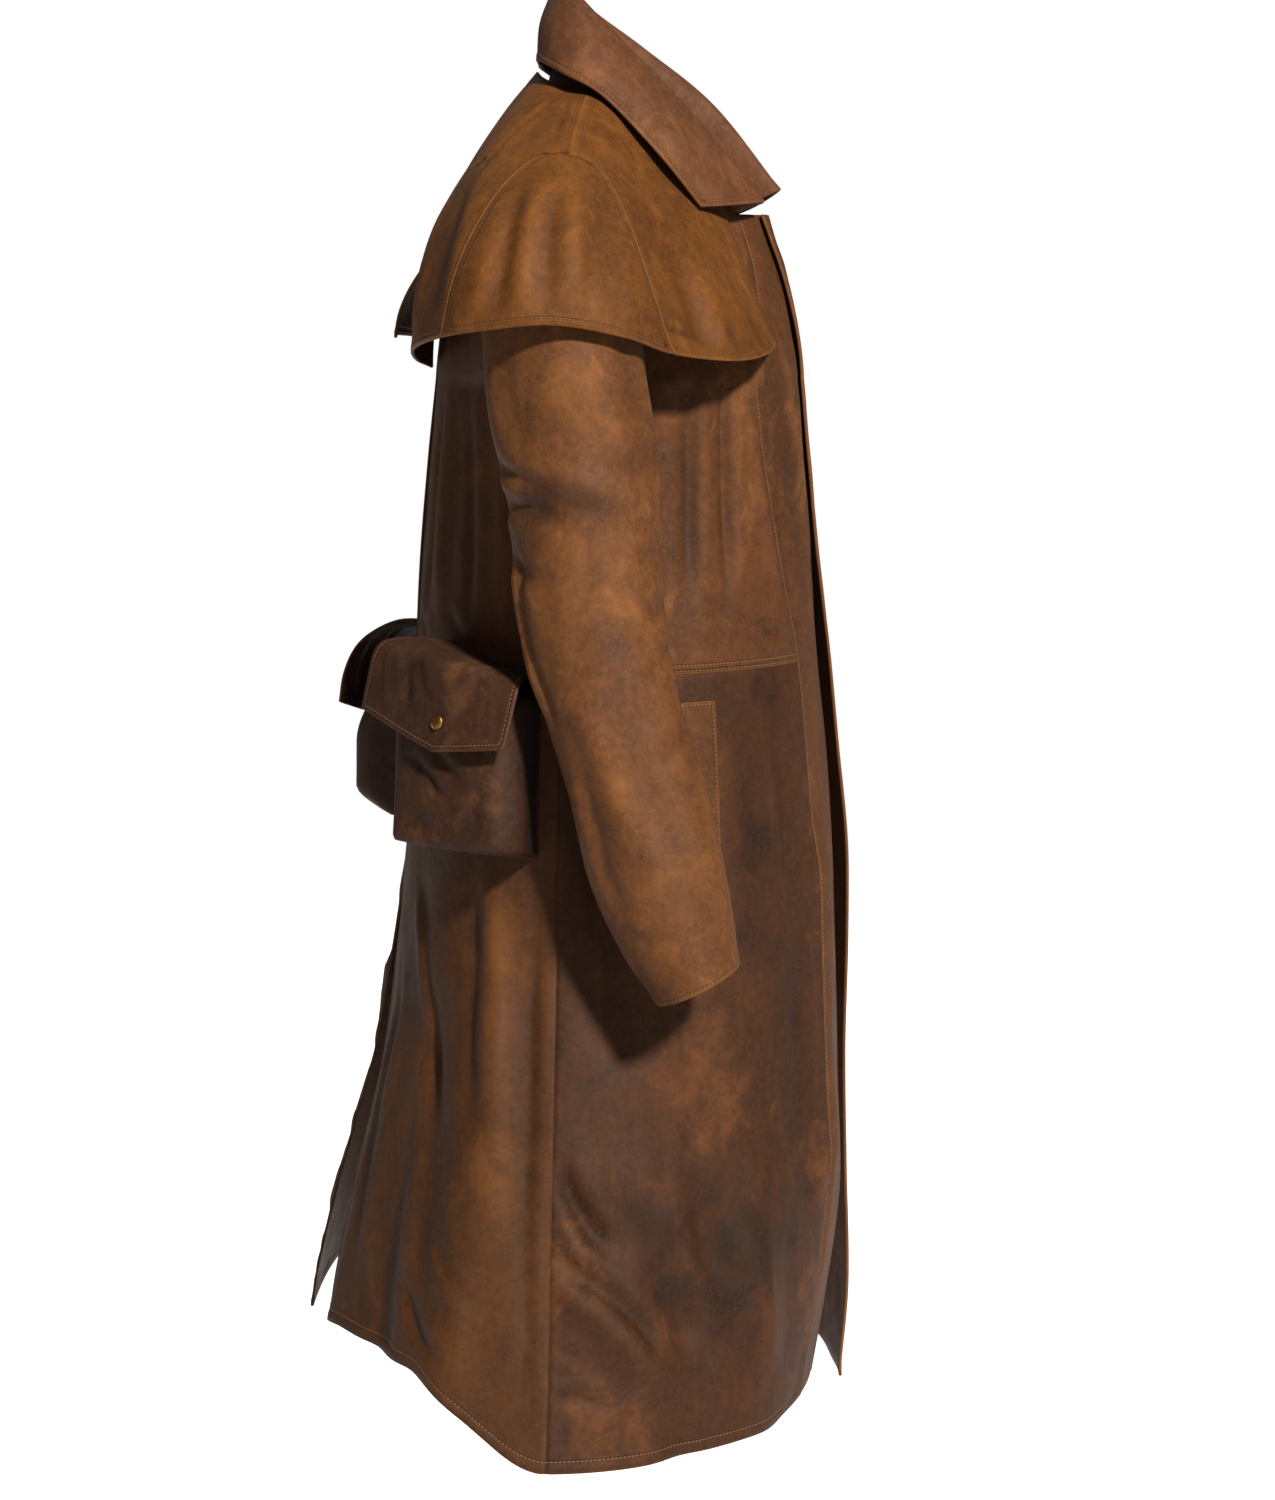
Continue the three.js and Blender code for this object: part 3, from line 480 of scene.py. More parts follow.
def bag_point(side, edgewise, upward):
    """The bellows bag: an eased climb out over its gussets to a flat face, open at the top."""
    start, end, deep, bottom, mouth, lean, sag, turned = POCKET_SIDE[side].values()
    gusset, foot, full, rounding, spread = BAG.values()
    reach = np.minimum(edgewise, 1 - edgewise) / gusset
    face = clamp((edgewise - gusset * foot) / (1 - 2 * gusset * foot))
    flare = spread / HIP_DEGREE * (1 - clamp(reach))
    degrees = mix(start, end, face) + np.where(edgewise < 0.5, -flare, flare)
    climb = clamp((upward - gusset * sag) / (1 - gusset * sag))
    top = mouth + (degrees - (start + end) / 2) * HIP_DEGREE * math.sin(math.radians(turned))
    drop = mix(bottom + spread * (1 - clamp(upward / gusset)), top, climb)
    out = (ease(reach) * ease(upward / gusset)) ** rounding
    narrow = lean * ease((climb - full) / (1 - full))
    stand = deep * (1 - narrow) + FLAT * (2 * face - 1) ** 2
    return pocket_point(side, degrees, drop, ON_PANEL + stand * out)


def flap_point(side, edgewise, downward):
    """The flap's run off the panel, over the bag's mouth and down to a blunt point, turned in the panel."""
    start, end, deep, *_, turned = POCKET_SIDE[side].values()
    peak, level = FLAP["peak"], FLAP["level"]
    run = between(FLAP_RUN[side], "down", downward)
    half = (end - start) * HIP_DEGREE / 2 + FLAP["overhang"] * ease(downward / level)
    aside = mix(-half, half, edgewise)
    off = np.abs(edgewise - peak) / np.where(edgewise < peak, peak, 1 - peak)
    below = run["below"] - FLAP["point"] * off * ease((downward - level) / (1 - level))
    c, s = math.cos(math.radians(turned)), math.sin(math.radians(turned))
    degrees = (start + end) / 2 + (aside * c - below * s) / HIP_DEGREE
    drop = FLAP["top"] + aside * s + below * c
    stand = deep + FLAP["clear"] + FLAT * (2 * edgewise - 1) ** 2
    return pocket_point(side, degrees, drop, FLAP_SEAM + stand * run["out"])


def welt_point(side, u, drop):
    """The welt on the front skirt."""
    lift = (-1 if side == "right" else 1) * WELT["lift"] + 0 * u
    place = mix(WELT["start"], WELT["end"], u) / 90
    return moved_out(lambda a, b: body_point(side, True, a, b), place, CHEST - drop, lift)


# Creases, stains and small waves. A crease's deep is how far its line stands out, and a trough has a minus. A
# stain's amount is above 0 where the leather is darker and greyer, and below 0 where it is rubbed light. The
# bag's gusset row is a painted shadow, not a stain.
CREASE_NAMES = "u v u_end v_end bow wide deep"
STAIN_NAMES = "u v wide long amount"

# On the body, by degrees from the centre front to the centre back, and by drop
BODY_SCALE = (4.0, 1.0)
BODY_CREASES = {
    "right": table(CREASE_NAMES, """
    50 225 51 400 1 7 -4.2
    56 235 58 420 -3 10 2.2
    61 240 62 400 2 9 -2.6
    43 250 35 400 3 10 2
    33 300 28 430 2 7 -1.2
    47 418 34 436 2 5 -1
    44 434 30 444 -2 4 0.8
    62 430 52 446 3 5 -0.9
    40 480 36 640 5 14 -1.6
    54 520 50 700 -6 16 1.8
    34 690 31 900 4 12 -2
    89 828 79 894 -5 7 -4.6
    89 858 82 906 -4 7 3.2
    89 903 68 976 8 7 -4.8
    89.5 920 71 992 8 11 3.8
    67 850 54 975 -6 13 4
    60 880 50 990 -6 14 -2.6
    50 900 42 1010 5 16 2.4
    89 968 84 974 1 3 -1.6
    89 984 85 990 1 3 -1.5
    89.5 1004 79 1012 3 4 -2.8
    84 560 78 760 6 15 -2.6
    71 640 66 800 -6 18 2.2
    151 640 136 760 4 9 3.4
    147 660 131 800 4 9 -2.8
    122 610 114 800 -4 16 -3.4
    111 640 106 900 6 18 3
    97 620 95 1010 -5 10 -1.6
    140 760 132 960 6 16 3.2
    133 930 116 985 -4 8 -2
    124 900 108 950 -5 8 1.6
    160 700 155 960 4 10 -2.6
    157 240 156 430 3 12 -2.6
    147 250 144 425 -4 14 2.4
    136 245 127 420 3 12 -2.8
    118 240 112 430 4 14 2
    168 420 150 446 3 6 -1.2
    140 412 122 440 -3 6 -1.2
    """),
    "left": table(CREASE_NAMES, """
    48 230 50 390 -1 8 -3.8
    55 240 59 410 3 10 2
    64 236 63 405 -2 9 -2.8
    40 260 34 420 -3 11 1.8
    50 424 36 440 -2 5 -1
    60 436 47 444 2 5 0.9
    42 500 37 690 -4 15 -2
    56 500 52 720 5 16 1.8
    86 850 74 915 5 8 -3.8
    88 900 70 960 -6 8 3.4
    83 930 64 1000 -7 10 -3.2
    60 860 52 985 6 14 3.6
    89 975 83 982 1 3 -1.6
    89 996 81 1004 -2 4 -2.2
    80 580 76 780 -6 16 -2.4
    150 650 140 780 -4 10 3
    124 640 118 820 4 16 -3.2
    110 660 105 920 -5 18 2.8
    96 640 94 1000 5 11 -2.8
    139 790 134 970 -6 16 3
    158 720 155 980 -4 11 -2.4
    158 240 154 420 -3 12 -2.4
    145 255 140 430 4 14 2.6
    131 240 125 425 -3 12 -2.6
    166 424 148 446 -3 6 -1.2
    """),
}
BODY_STAINS = table(STAIN_NAMES, """
    27 285 20 60 0.85
    24 370 16 40 0.4
    61 330 11 80 0.75
    46 300 22 90 -0.35
    52 425 50 18 0.3
    40 500 34 26 0.35
    47 606 26 46 0.55
    36 650 30 60 0.6
    60 560 26 60 -0.35
    26 610 14 50 -0.5
    58 740 40 50 -0.3
    30 800 30 60 0.5
    76 868 42 34 0.9
    47 905 46 46 1
    73 935 34 20 0.6
    62 800 36 36 -0.45
    60 900 12 70 -0.6
    60 1030 90 22 -0.4
    84 700 30 80 0.3
    108 672 42 46 -0.9
    114 770 22 70 -0.45
    124 720 20 60 0.35
    104 850 34 60 -0.3
    112 1000 50 26 -0.5
    130 880 60 40 0.4
    98 780 10 160 0.45
    150 560 40 40 0.4
    150 340 40 70 -0.2
    128 420 40 26 0.4
    150 930 40 40 -0.3
""")

# On a sleeve, by degrees from its outermost point forward, and by ring
SLEEVE_SCALE = (0.92, 56.0)
SLEEVE_CREASES = table(CREASE_NAMES, """
    -96 5.25 -18 5.75 4 6 -3
    -94 5.95 -12 6.15 -5 6 -3.6
    -92 6.4 -26 6.75 4 5 -2.2
    -60 5.6 30 5.9 -5 9 1.8
    20 5.5 96 5.15 4 8 -1.8
    96 6.45 34 6.6 3 5 -2.2
    98 6.95 44 7.05 -3 5 -2.4
    100 7.5 36 7.9 4 6 -2.2
    96 8.2 24 8.7 -4 6 -1.6
    -70 6.4 -60 8.2 2 5 -2.4
    -78 6.6 -70 8.4 2 6 2
    -30 7.9 -14 9.6 -4 10 1.8
    14 8.2 20 9.9 4 11 -1.6
    -46 8.6 -38 10.4 3 8 -1.8
    40 9.2 60 11 -3 9 1.4
    -52 3.6 -46 5.2 4 12 -2.2
    -6 3.2 -2 5 -4 16 1.8
    48 3.4 62 5.2 4 13 -2
    -60 10.6 20 11 3 6 -1
    108 5.7 176 6 4 6 -2.8
    106 6.4 182 6.5 -4 6 -3.2
    106 7 170 7.2 4 6 -2.4
    196 5.5 262 5.3 -3 6 -2.6
    200 6.2 262 6 3 6 -2.8
    210 7.6 240 9.4 3 10 2
    150 7.8 140 10 -3 10 -1.8
""")
SLEEVE_STAINS = table(STAIN_NAMES, """
    -20 5.9 46 16 0.7
    -40 9.6 12 60 0.5
    30 8.6 14 40 0.5
    -58 6.25 12 24 1.1
    -38 6 16 15 0.9
    -12 5.8 22 12 0.65
    12 5.97 16 12 0.5
    46 5.5 14 22 0.5
    14 7.4 13 12 0.75
    4 7.95 14 16 0.8
    -24 7.3 12 12 0.4
    -36 4.85 20 20 0.35
    12 10.3 16 14 0.5
    -10 9.7 15 14 0.5
    -36 9.1 14 20 0.55
    60 8.8 14 30 0.35
    0 4.4 34 40 -0.45
    22 6.8 24 22 -0.45
    -20 8.8 14 20 -0.4
    24 9.1 20 26 -0.4
    0 11.4 60 14 0.2
    150 6.4 34 30 0.7
    200 8.4 30 40 0.4
""")

# On the cape, by turn and by fall
CAPE_SCALE = (480.0, 320.0)
CAPE_CREASES = table(CREASE_NAMES, """
    0.6 0.5 0.615 0.97 3 9 1.7
    0.54 0.56 0.545 0.97 -3 9 1.9
    0.475 0.52 0.465 0.95 3 9 1.9
    0.57 0.52 0.58 0.97 2 8 -1.6
    0.508 0.55 0.505 0.97 -2 8 -1.7
    0.41 0.5 0.39 0.95 3 12 -1.5
    0.345 0.88 0.262 0.845 -2 5 -2.4
    0.275 0.5 0.262 0.9 3 8 -3.4
    0.235 0.52 0.21 0.92 -3 11 1.8
    0.14 0.4 0.1 0.9 3 12 -1.2
    0.606 0.08 0.69 0.46 -3 5 -2.6
    0.66 0.1 0.735 0.42 3 5 -1.8
    0.551 0.12 0.534 0.33 2 4 -3
    0.435 0.12 0.44 0.36 -2 5 -1.4
    0.72 0.45 0.71 0.95 3 12 -2.2
    0.79 0.5 0.79 0.96 -3 13 2
    0.87 0.45 0.88 0.95 3 13 -1.8
""")
CAPE_STAINS = table(STAIN_NAMES, """
    0.2 0.8 60 80 0.5
    0.57 0.66 12 44 0.5
    0.51 0.72 9 40 0.45
    0.43 0.6 12 50 0.3
    0.6 0.85 12 30 -0.4
    0.54 0.8 9 34 -0.4
    0.47 0.76 10 34 -0.45
    0.3 0.8 18 40 0.35
    0.2 0.55 24 30 -0.25
    0.12 0.75 20 34 0.3
    0.5 0.3 40 20 0.35
    0.75 0.6 20 50 0.4
    0.88 0.8 20 30 -0.2
""")

# On a bag and on a flap, by their own shares
BAG_SCALE = (180.0, 150.0)
BAG_CREASES = table(CREASE_NAMES, """
    0.3 0.62 0.5 0.4 4 5 -1.8
    0.42 0.72 0.66 0.52 -4 5 -1.6
    0.34 0.5 0.56 0.34 3 4 1.4
    0.58 0.84 0.74 0.66 3 5 -1.6
    0.28 0.36 0.48 0.28 -2 4 -1.4
    0.66 0.44 0.72 0.3 2 5 -1.2
    0.5 0.95 0.58 0.78 2 5 1.2
""")
# The first row (u 0.94, the front gusset) is a painted shadow where the sleeve's shadow falls; the other rows
# are stains.
BAG_STAINS_AND_SHADOW = table(STAIN_NAMES, """
    0.94 0.5 16 130 1.7
    0.6 0.8 30 14 0.6
    0.45 0.45 30 12 -0.4
    0.3 0.6 12 20 0.5
    0.7 0.35 20 12 0.4
""")
FLAP_SCALE = (140.0, 110.0)
FLAP_CREASES = table(CREASE_NAMES, """
    0.16 0.4 0.34 0.85 -4 5 -2.6
    0.28 0.36 0.46 0.76 4 5 -2
    0.56 0.42 0.64 0.8 3 6 1.4
    0.84 0.4 0.72 0.76 3 6 -1.6
    0.06 0.5 0.14 0.9 2 4 -1.4
""")
FLAP_STAINS = table(STAIN_NAMES, """
    0.28 0.62 12 22 0.9
    0.42 0.5 14 16 0.5
    0.75 0.7 16 18 -0.3
    0.1 0.8 8 14 0.5
""")
COLLAR_SCALE = (330.0, 190.0)
COLLAR_STAINS = table(STAIN_NAMES, """
    0.75 0.8 36 24 0.3
    0.5 0.9 30 16 -0.3
    0.2 0.75 30 20 0.3
    -0.4 0.8 36 24 0.3
""")


def creases(rows, scale, u, v):
    """Each crease is a bowed line with a bell curve across it and a softer one of the other sign beside it,
    faded towards its ends. scale gives mm for one of each direction's units."""
    out = 0 * (u + v)
    for u0, v0, u1, v1, bow, wide, deep in zip(*rows.values()):
        along_u, along_v = (u1 - u0) * scale[0], (v1 - v0) * scale[1]
        length = math.hypot(along_u, along_v)
        du, dv = along_u / length, along_v / length
        to_u, to_v = (u - u0) * scale[0], (v - v0) * scale[1]
        t = (to_u * du + to_v * dv) / length
        away = (to_v * du - to_u * dv - bow * 4 * t * (1 - t)) / wide
        start, end = t + CREASE["run_on"], 1 + CREASE["run_on"] - t
        fade = ease(start / CREASE["fade"]) * ease(end / CREASE["fade"])
        beside = CREASE["beside"] * np.exp(-((away - CREASE["away"]) ** 2) / CREASE["spread"])
        out = out + deep * fade * (np.exp(-away * away) - beside)
    return out


def stains(rows, scale, u, v):
    """The sum of the stains, and of the painted shadow where a table holds one, each a bell curve of its own
    width and length.
    """
    out = 0 * (u + v)
    for at, down, wide, long, amount in zip(*rows.values()):
        across, along = (u - at) * scale[0] / wide, (v - down) * scale[1] / long
        out = out + amount * np.exp(-(across**2) - along**2)
    return out


def waves(seed, u, v, length, stretch=1.0):
    """Smooth noise: random heights on a lattice, blended with eased shares. Its hills are length mm wide."""
    lattice = np.random.default_rng(seed).uniform(-1, 1, (LATTICE, LATTICE))
    a, b = u / length + WAVE_SHIFT, v / (length * stretch) + WAVE_SHIFT
    i, j = np.floor(a).astype(int), np.floor(b).astype(int)
    s, t = ease(a - i), ease(b - j)
    pick = lambda p, q: lattice[p % LATTICE, q % LATTICE]
    return mix(mix(pick(i, j), pick(i + 1, j), s), mix(pick(i, j + 1), pick(i + 1, j + 1), s), t)


# Making a shell
def shell(
    name, surface, us, vs, outward, relief=None, raised=None, stained=None, stitched="", slot="body_leather"
):
    """A cloth wall: the surface's grid moved out and in by half the wall, with a rounded rim. relief moves
    both skins and raised the outer one, from lengths along the cloth in mm, and the stain argument gives its
    stains and, on the bags, a painted shadow."""
    u, v = np.meshgrid(us, vs, indexing="ij")
    middle = surface(u, v)
    run_u = np.linalg.norm(np.diff(middle, axis=0), axis=-1)
    run_v = np.linalg.norm(np.diff(middle, axis=1), axis=-1)
    wide = np.concatenate([0 * middle[:1, :, 0], np.cumsum(run_u, axis=0)], axis=0)
    long = np.concatenate([0 * middle[:, :1, 0], np.cumsum(run_v, axis=1)], axis=1)
    sides = {"u0": wide, "u1": wide[-1:] - wide, "v0": long, "v1": long[:, -1:] - long}
    step_u, step_v = STEP * (us[-1] - us[0]), STEP * (vs[-1] - vs[0])
    du = surface(u + step_u, v) - surface(u - step_u, v)
    dv = surface(u, v + step_v) - surface(u, v - step_v)
    normal = unit(np.cross(du, dv)) * outward
    lift = relief(wide, long, u, v) if relief else 0 * wide
    lift = lift * ease(np.minimum.reduce(list(sides.values())) / RIM_FADE + RIM_LEFT)
    middle = middle + normal * lift[..., None]
    du = np.gradient(middle, axis=0)
    dv = np.gradient(middle, axis=1)
    facing = outward if (us[-1] - us[0]) * (vs[-1] - vs[0]) > 0 else -outward
    bent = unit(np.cross(du, dv)) * facing
    height = raised(wide, long, u, v) if raised else 0 * wide
    outer = middle + bent * (WALL / 2 + height)[..., None]
    inner = middle - bent * (WALL / 2)
    for grid in (outer, inner):
        grid[0] += unit(grid[1] - grid[0]) * SEAM / 2
        grid[-1] += unit(grid[-2] - grid[-1]) * SEAM / 2
        grid[:, 0] += unit(grid[:, 1] - grid[:, 0]) * SEAM / 2
        grid[:, -1] += unit(grid[:, -2] - grid[:, -1]) * SEAM / 2
    columns, rows = len(us), len(vs)
    order = np.arange(columns * rows).reshape(columns, rows)
    inside = order + columns * rows
    rim = np.concatenate([order[:-1, 0], order[-1, :-1], order[:0:-1, -1], order[0, :0:-1]])
    toward = np.concatenate([order[:-1, 1], order[-2, :-1], order[:0:-1, -2], order[1, :0:-1]])
    flat_outer, flat_inner = outer.reshape(-1, 3), inner.reshape(-1, 3)
    mid = (flat_outer[rim] + flat_inner[rim]) / 2
    mid = mid + unit(mid - (flat_outer[toward] + flat_inner[toward]) / 2) * BEAD
    bead = np.arange(len(rim)) + 2 * columns * rows
    points = np.concatenate([flat_outer, flat_inner, mid])
    quads = np.stack([order[:-1, :-1], order[1:, :-1], order[1:, 1:], order[:-1, 1:]], axis=-1)
    quads = quads.reshape(-1, 4)
    under = (quads + columns * rows)[:, ::-1]
    after = np.roll(np.arange(len(rim)), -1)
    skirt = np.stack([rim, bead, bead[after], rim[after]], axis=-1)
    lower = np.stack([bead, inside.reshape(-1)[rim], inside.reshape(-1)[rim[after]], bead[after]], axis=-1)
    faces = np.concatenate([quads, under, skirt, lower])
    if facing < 0:
        faces = faces[:, ::-1]
    near = np.full(wide.shape, FAR)
    along = 0 * wide
    for edge in stitched.split():
        closer = sides[edge] < near
        near = np.where(closer, sides[edge], near)
        along = np.where(closer, long if edge[0] == "u" else wide, along)
    per_point = lambda a: np.concatenate([a.reshape(-1), a.reshape(-1), a.reshape(-1)[rim]])
    falling, rising = middle[1:, 1:] - middle[:-1, :-1], middle[1:, :-1] - middle[:-1, 1:]
    area = 0.5 * np.sum(np.linalg.norm(np.cross(falling, rising), axis=-1))
    piece = mesh_piece(name, points, faces)
    tag(piece, "edge", per_point(near))
    tag(piece, "along", per_point(along))
    tag(piece, "relief", per_point(lift + height))
    tag(piece, "stain", per_point(stained(u, v) if stained else 0 * wide))
    tag(piece, "skin", np.concatenate([np.ones(columns * rows), np.zeros(columns * rows), np.ones(len(rim))]))
    return piece, (float(wide[-1].max()) / 1000, float(long[:, -1].max()) / 1000, float(area) / 1e6)


def mesh_piece(name, points, faces):
    """A mesh object from points in mm and faces of four corners, smooth shaded."""
    mesh = bpy.data.meshes.new(name)
    mesh.from_pydata((points / 1000).tolist(), [], faces.tolist())
    mesh.polygons.foreach_set("use_smooth", np.ones(len(mesh.polygons), bool))
    mesh.update()
    piece = bpy.data.objects.new(name, mesh)
    bpy.context.scene.collection.objects.link(piece)
    return piece


def tag(piece, name, values):
    """A number for each point, which the materials read by name."""
    layer = piece.data.attributes.new(name, "FLOAT", "POINT")
    layer.data.foreach_set("value", np.asarray(values, np.float32))


# Materials
def operator(operation, turned=False):
    """An operator that adds one Math node, with its two numbers the other way round where it is turned."""
    return lambda self, other: self.finish.math(operation, *((other, self) if turned else (self, other)))


class Value:
    """A number that changes over a surface. Arithmetic on it adds Math nodes."""

    def __init__(self, finish, socket):
        self.finish, self.socket = finish, socket

    __add__ = __radd__ = operator("ADD")
    __mul__ = __rmul__ = operator("MULTIPLY")
    __sub__, __rsub__ = operator("SUBTRACT"), operator("SUBTRACT", True)
    __truediv__ = operator("DIVIDE")


class Finish:
    """A material being put together from nodes."""

    def __init__(self, name, shift):
        self.material = bpy.data.materials.new(name)
        self.material.use_nodes = True
        self.tree = self.material.node_tree
        self.tree.nodes.clear()
        place = self.node("ShaderNodeTexCoord").outputs["Object"]
        self.place = self.node("ShaderNodeMapping", sockets={"Vector": place, "Location": shift}).outputs[0]

    def node(self, kind, settings=None, sockets=None):
        """A node of a kind, with its settings, then the values or links of its sockets."""
        made = self.tree.nodes.new(kind)
        for name, value in (settings or {}).items():
            setattr(made, name, value)
        for name, value in (sockets or {}).items():
            if isinstance(value, Value):
                value = value.socket
            if isinstance(value, bpy.types.NodeSocket):
                self.tree.links.new(value, made.inputs[name])
            else:
                made.inputs[name].default_value = value
        return made

    def math(self, operation, a, b=0.0, clamped=False):
        """One Math node."""
        made = self.node("ShaderNodeMath", dict(operation=operation, use_clamp=clamped), {0: a, 1: b})
        return Value(self, made.outputs[0])

    def attribute(self, name):
        """A number kept on the mesh's points."""
        return Value(self, self.node("ShaderNodeAttribute", dict(attribute_name=name)).outputs["Fac"])

    def stretched(self, scale):
        """The place, with each axis multiplied."""
        return self.node("ShaderNodeMapping", sockets={"Vector": self.place, "Scale": scale}).outputs[0]

    def noise(self, scale, detail=3.0, rough=0.55, distort=0.0, place=None):
        """Noise from 0 to 1, with hills 1/scale metres wide."""
        sockets = {"Vector": place or self.place, "Scale": scale, "Detail": detail, "Roughness": rough}
        sockets["Distortion"] = distort
        return Value(self, self.node("ShaderNodeTexNoise", sockets=sockets).outputs[0])

    def cells(self, scale, feature="F1", place=None):
        """Distance to the nearest cell point or cell edge."""
        sockets = {"Vector": place or self.place, "Scale": scale}
        made = self.node("ShaderNodeTexVoronoi", dict(feature=feature), sockets)
        return Value(self, made.outputs["Distance"])

    def step(self, value, low, high, to_low=0.0, to_high=1.0):
        """An eased step from one value to another between two limits."""
        settings = dict(interpolation_type="SMOOTHSTEP", clamp=True)
        sockets = {"Value": value, "From Min": low, "From Max": high, "To Min": to_low, "To Max": to_high}
        return Value(self, self.node("ShaderNodeMapRange", settings, sockets).outputs[0])

    def blend(self, factor, a, b, way="MIX"):
        """Two colours mixed by a factor."""
        settings = dict(data_type="RGBA", blend_type=way, clamp_factor=True)
        return self.node("ShaderNodeMix", settings, {0: factor, 6: a, 7: b}).outputs[2]

    def close(self, colour, rough, height, **uniform):
        """The shader: colour, roughness and a height in mm, with uniform values set on its own sockets."""
        bump = self.node("ShaderNodeBump", sockets={"Strength": 1.0, "Distance": 0.001, "Height": height})
        sockets = {"Base Color": colour, "Roughness": rough, "Normal": bump.outputs[0]}
        sockets.update({name.replace("_", " "): value for name, value in uniform.items()})
        shader = self.node("ShaderNodeBsdfPrincipled", sockets=sockets)
        self.node("ShaderNodeOutputMaterial", sockets={"Surface": shader.outputs[0]})
        return self.material


def rgb(red, green, blue):
    """A colour given as screen values from 0 to 255, as the shader's own."""
    steep = lambda c: ((c / 255 + 0.055) / 1.055) ** 2.4
    linear = [c / 255 / 12.92 if c <= 10.31 else steep(c) for c in (red, green, blue)]
    return (*linear, 1.0)


STITCH_PITCH = 3.4


def leather(name, dark, middle, light, grey, shift, lines=(), streak=0.25, cloud=1.0, thread=(120, 88, 56)):
    """Worn leather: soft clouds of dark and light round the piece's own stains and painted shadows, streaks,
    pale worn edges, a painted highlight on crests and painted shade in hollows, nap, scuffs, and rows of
    stitches at distances in mm from the stitched edges."""
    f = Finish(name, shift)
    broad = f.noise(7.5, 5, 0.6, 0.2)
    blotch = f.noise(26, 6, 0.68, 0.6)
    fine = f.noise(150, 6, 0.72)
    speck = f.noise(620, 3, 0.7)
    streaks = f.noise(1.0, 5, 0.62, 0.3, f.stretched((36, 36, 5)))
    relief, edge, skin, stain = (f.attribute(name) for name in ("relief", "edge", "skin", "stain"))
    # The stain attribute carries the stains and, on the bags' gussets, a painted shadow; both darken and grey
    # the clouds here.
    smoke = stain * 0.58 + (broad - 0.5) * (2.4 * cloud) + (blotch - 0.5) * 2.5 + (fine - 0.5) * 1.8
    colour = f.blend(f.step(broad * 0.5 + fine * 0.5, 0.36, 0.64), dark, middle)
    colour = f.blend(f.step(smoke, 0.0, 1.05) * 0.85, colour, grey)
    colour = f.blend(f.step(0.0 - smoke, 0.0, 1.0) * 0.7, colour, light)
    colour = f.blend(f.step(streaks, 0.5, 0.8) * streak, colour, light)
    colour = f.blend(f.step(streaks, 0.2, 0.48, 1, 0) * streak, colour, dark)
    # Fine mottle and specks, times painted shade in hollows and a painted highlight on crests, read from the
    # relief height.
    mottle_and_relief_shade = (0.55 + fine * 0.65 + speck * 0.25) * f.step(relief, -5, 5, 0.8, 1.18)
    shade = f.node("ShaderNodeCombineColor", sockets={0: mottle_and_relief_shade, 1: mottle_and_relief_shade, 2: mottle_and_relief_shade}).outputs[0]
    colour = f.blend(1.0, colour, shade, "MULTIPLY")
    warp = f.node("ShaderNodeTexNoise", sockets={"Vector": f.place, "Scale": 60.0}).outputs[1]
    warped = f.node("ShaderNodeMix", dict(data_type="VECTOR"), {0: 0.02, 4: f.place, 5: warp}).outputs[1]
    crack = f.step(f.cells(150, "DISTANCE_TO_EDGE", warped), 0.0, 0.08, 1, 0) * f.step(blotch, 0.45, 0.7)
    colour = f.blend(crack * 0.18, colour, light)
    scuff = f.step(f.noise(340, 2, 0.5), 0.66, 0.74) * f.step(blotch, 0.45, 0.65)
    colour = f.blend(scuff * 0.35, colour, light)
    worn = f.step(edge, 0.3, 2.6, 1, 0) * (0.3 + fine * 0.8)
    colour = f.blend(worn * 0.45, colour, light)
    height = speck * 0.045 + fine * 0.17 + f.cells(1100) * 0.04
    height = height + f.noise(52, 5, 0.62, 0.8) * 0.6 - crack * 0.05
    height = height + f.noise(1.0, 4, 0.6, 0.5, f.stretched((60, 60, 16))) * 0.35
    if lines:
        along = f.math("FRACT", f.attribute("along") / STITCH_PITCH)
    for far in lines:
        off = f.math("ABSOLUTE", edge - far)
        stitch = f.step(off, 0.3, 0.7, 1, 0) * f.step(f.math("ABSOLUTE", along - 0.5), 0.28, 0.36, 1, 0)
        groove = f.step(off, 0.5, 2.0, 1, 0)
        colour = f.blend(groove * 0.4, colour, dark)
        colour = f.blend(stitch * 0.5, colour, rgb(*thread))
        height = height - groove * 0.5 + stitch * 0.5
    colour = f.blend(1 - skin, colour, f.blend(fine, dark, middle))
    rough = f.step(smoke, -0.5, 0.6, 0.72, 0.6) + (fine - 0.5) * 0.14
    return f.close(colour, rough, height, Specular_IOR_Level=0.12)


def brass(name):
    """Aged brass, darker in blotches, with fine scratches."""
    f = Finish(name, (0.3, 0.1, 0.7))
    spots = f.noise(260, 5, 0.7)
    colour = f.blend(f.step(spots, 0.4, 0.65), rgb(96, 66, 26), rgb(150, 112, 52))
    height = f.noise(900, 4, 0.7) * 0.05 + f.noise(1.0, 2, 0.5, 0, f.stretched((3000, 400, 400))) * 0.02
    return f.close(colour, f.step(spots, 0.3, 0.7, 0.5, 0.34), height, Metallic=1.0)


